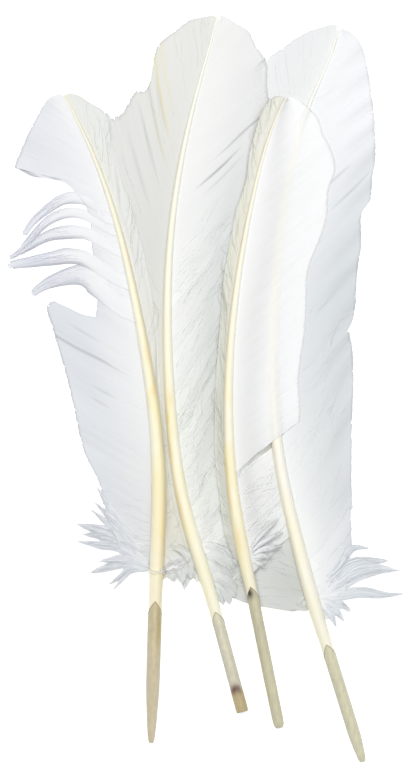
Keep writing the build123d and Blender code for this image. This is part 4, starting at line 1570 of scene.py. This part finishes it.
# Satin barbs with fine streaks along them and ribs across, soft matt down, smooth cream
# keratin with a lengthwise grain, and tan horn, mottled and scratched along its length.
SHAFT_GRAIN = (1600, 110, 1600)
HORN_GRAIN = (1500, 140, 1500)
HORN_SPOTS = (420, 420, 420)
vane_look = tinted_material("vane_barbs", 0.62, 0.12, [((5, 1.1, 1), 6, 0.985, 1.01)],
                            ((260, 3, 1), 2, 0.03 * MM), on_barbs=True)
down_look = tinted_material("down_barbs", 0.85, 0.3, [((260, 260, 260), 3, 0.97, 1.02)])
shaft_look = tinted_material("shaft_keratin", 0.38, 0, [(SHAFT_GRAIN, 5, 0.97, 1.015)],
                             (SHAFT_GRAIN, 5, 0.04 * MM))
horn_look = tinted_material("barrel_horn", 0.45, 0,
                            [(HORN_GRAIN, 6, 0.9, 1.05), (HORN_SPOTS, 3, 0.95, 1.03)],
                            (HORN_GRAIN, 6, 0.08 * MM))
pulp_look = hidden_material("pulp_film", (214, 200, 168), 500)
pith_look = hidden_material("pith_foam", (250, 246, 232), 900)

for quill in QUILLS:
    for side in SIDES:
        dress(make_vane(quill, side), vane_look)
    dress(make_shaft(quill), shaft_look)
    dress(make_barrel(quill), horn_look)
    dress(frame["nodes"][f"{quill}_pulp_caps"], pulp_look)
    dress(frame["nodes"][f"{quill}_shaft_pith"], pith_look)
for quill, side in TUFTS:
    dress(make_down(quill, side), down_look)


# ---------------------------------------------------------------- room, light, camera

low, high = (np.array(corner) for corner in CAD_BOUNDS)
middle = (low + high) / 2

# The floor: its half width, how many squares along each side, how far under the pile it
# lies, and how much it rises towards its edges.
FLOOR_REACH = 3.0
FLOOR_STEPS = 24
FLOOR_GAP = 0.4 * MM
FLOOR_RISE = 0.25


def make_floor():
    """Wide white table with softly rising edges, so bright that it reads as a cut-out."""
    ticks = np.linspace(-FLOOR_REACH, FLOOR_REACH, FLOOR_STEPS + 1)
    corners, faces = [], []
    for y in ticks:
        for x in ticks:
            rise = FLOOR_RISE * max(0, math.hypot(x, y) / FLOOR_REACH - 0.5) ** 2
            corners.append((x, y, low[2] - FLOOR_GAP + rise))
    for row in range(FLOOR_STEPS):
        for column in range(FLOOR_STEPS):
            a = row * (FLOOR_STEPS + 1) + column
            faces.append((a, a + 1, a + FLOOR_STEPS + 2, a + FLOOR_STEPS + 1))
    floor = new_object("floor", corners, faces, closed=False)
    material, _, _, shader = new_material("floor_white", 0.9)
    shader.inputs["Base Color"].default_value = (0.9, 0.9, 0.9, 1)
    shader.inputs["Emission Color"].default_value = (1, 1, 1, 1)
    shader.inputs["Emission Strength"].default_value = 0.5
    dress(floor, material)


def add_light(name, place, size, power, colour):
    """Soft square light, placed from the pile's middle and turned towards it."""
    light = bpy.data.lights.new(name, "AREA")
    light.size = size
    light.energy = power
    light.color = colour
    lamp = bpy.data.objects.new(name, light)
    lamp.location = middle + np.array(place)
    direction = Vector(middle) - lamp.location
    lamp.rotation_mode = "QUATERNION"
    lamp.rotation_quaternion = direction.to_track_quat("-Z", "Y")
    bpy.context.scene.collection.objects.link(lamp)


def make_world(strength):
    """Even white light from all round."""
    world = bpy.data.worlds.new("studio")
    world.use_nodes = True
    sky = world.node_tree.nodes["Background"]
    sky.inputs["Color"].default_value = (1, 1, 1, 1)
    sky.inputs["Strength"].default_value = strength
    bpy.context.scene.world = world


# The camera: its height over the pile, the height of what it frames, how far its middle is
# from the pile's, and its sensor in mm.
CAMERA_HEIGHT = 2.0
FRAMED_HEIGHT = 0.3528
CAMERA_SHIFT = (-0.0004, 0.0022)
SENSOR = 36


def make_camera():
    """Camera straight above the pile, framed a little wider than its box."""
    data = bpy.data.cameras.new("camera")
    data.sensor_fit = "VERTICAL"
    data.sensor_height = SENSOR
    data.lens = SENSOR * (CAMERA_HEIGHT - (high[2] - low[2]) / 2) / FRAMED_HEIGHT
    camera = bpy.data.objects.new("camera", data)
    camera.location = (middle[0] + CAMERA_SHIFT[0], middle[1] + CAMERA_SHIFT[1], CAMERA_HEIGHT)
    bpy.context.scene.collection.objects.link(camera)
    bpy.context.scene.camera = camera


make_floor()
make_world(0.34)
add_light("key", (-0.15, 0.5, 1.6), 1.1, 18, (1, 0.998, 0.99))
add_light("fill", (0.7, -0.5, 1.3), 1.2, 4, (0.98, 0.99, 1))
make_camera()
bpy.context.scene.view_settings.view_transform = "Standard"
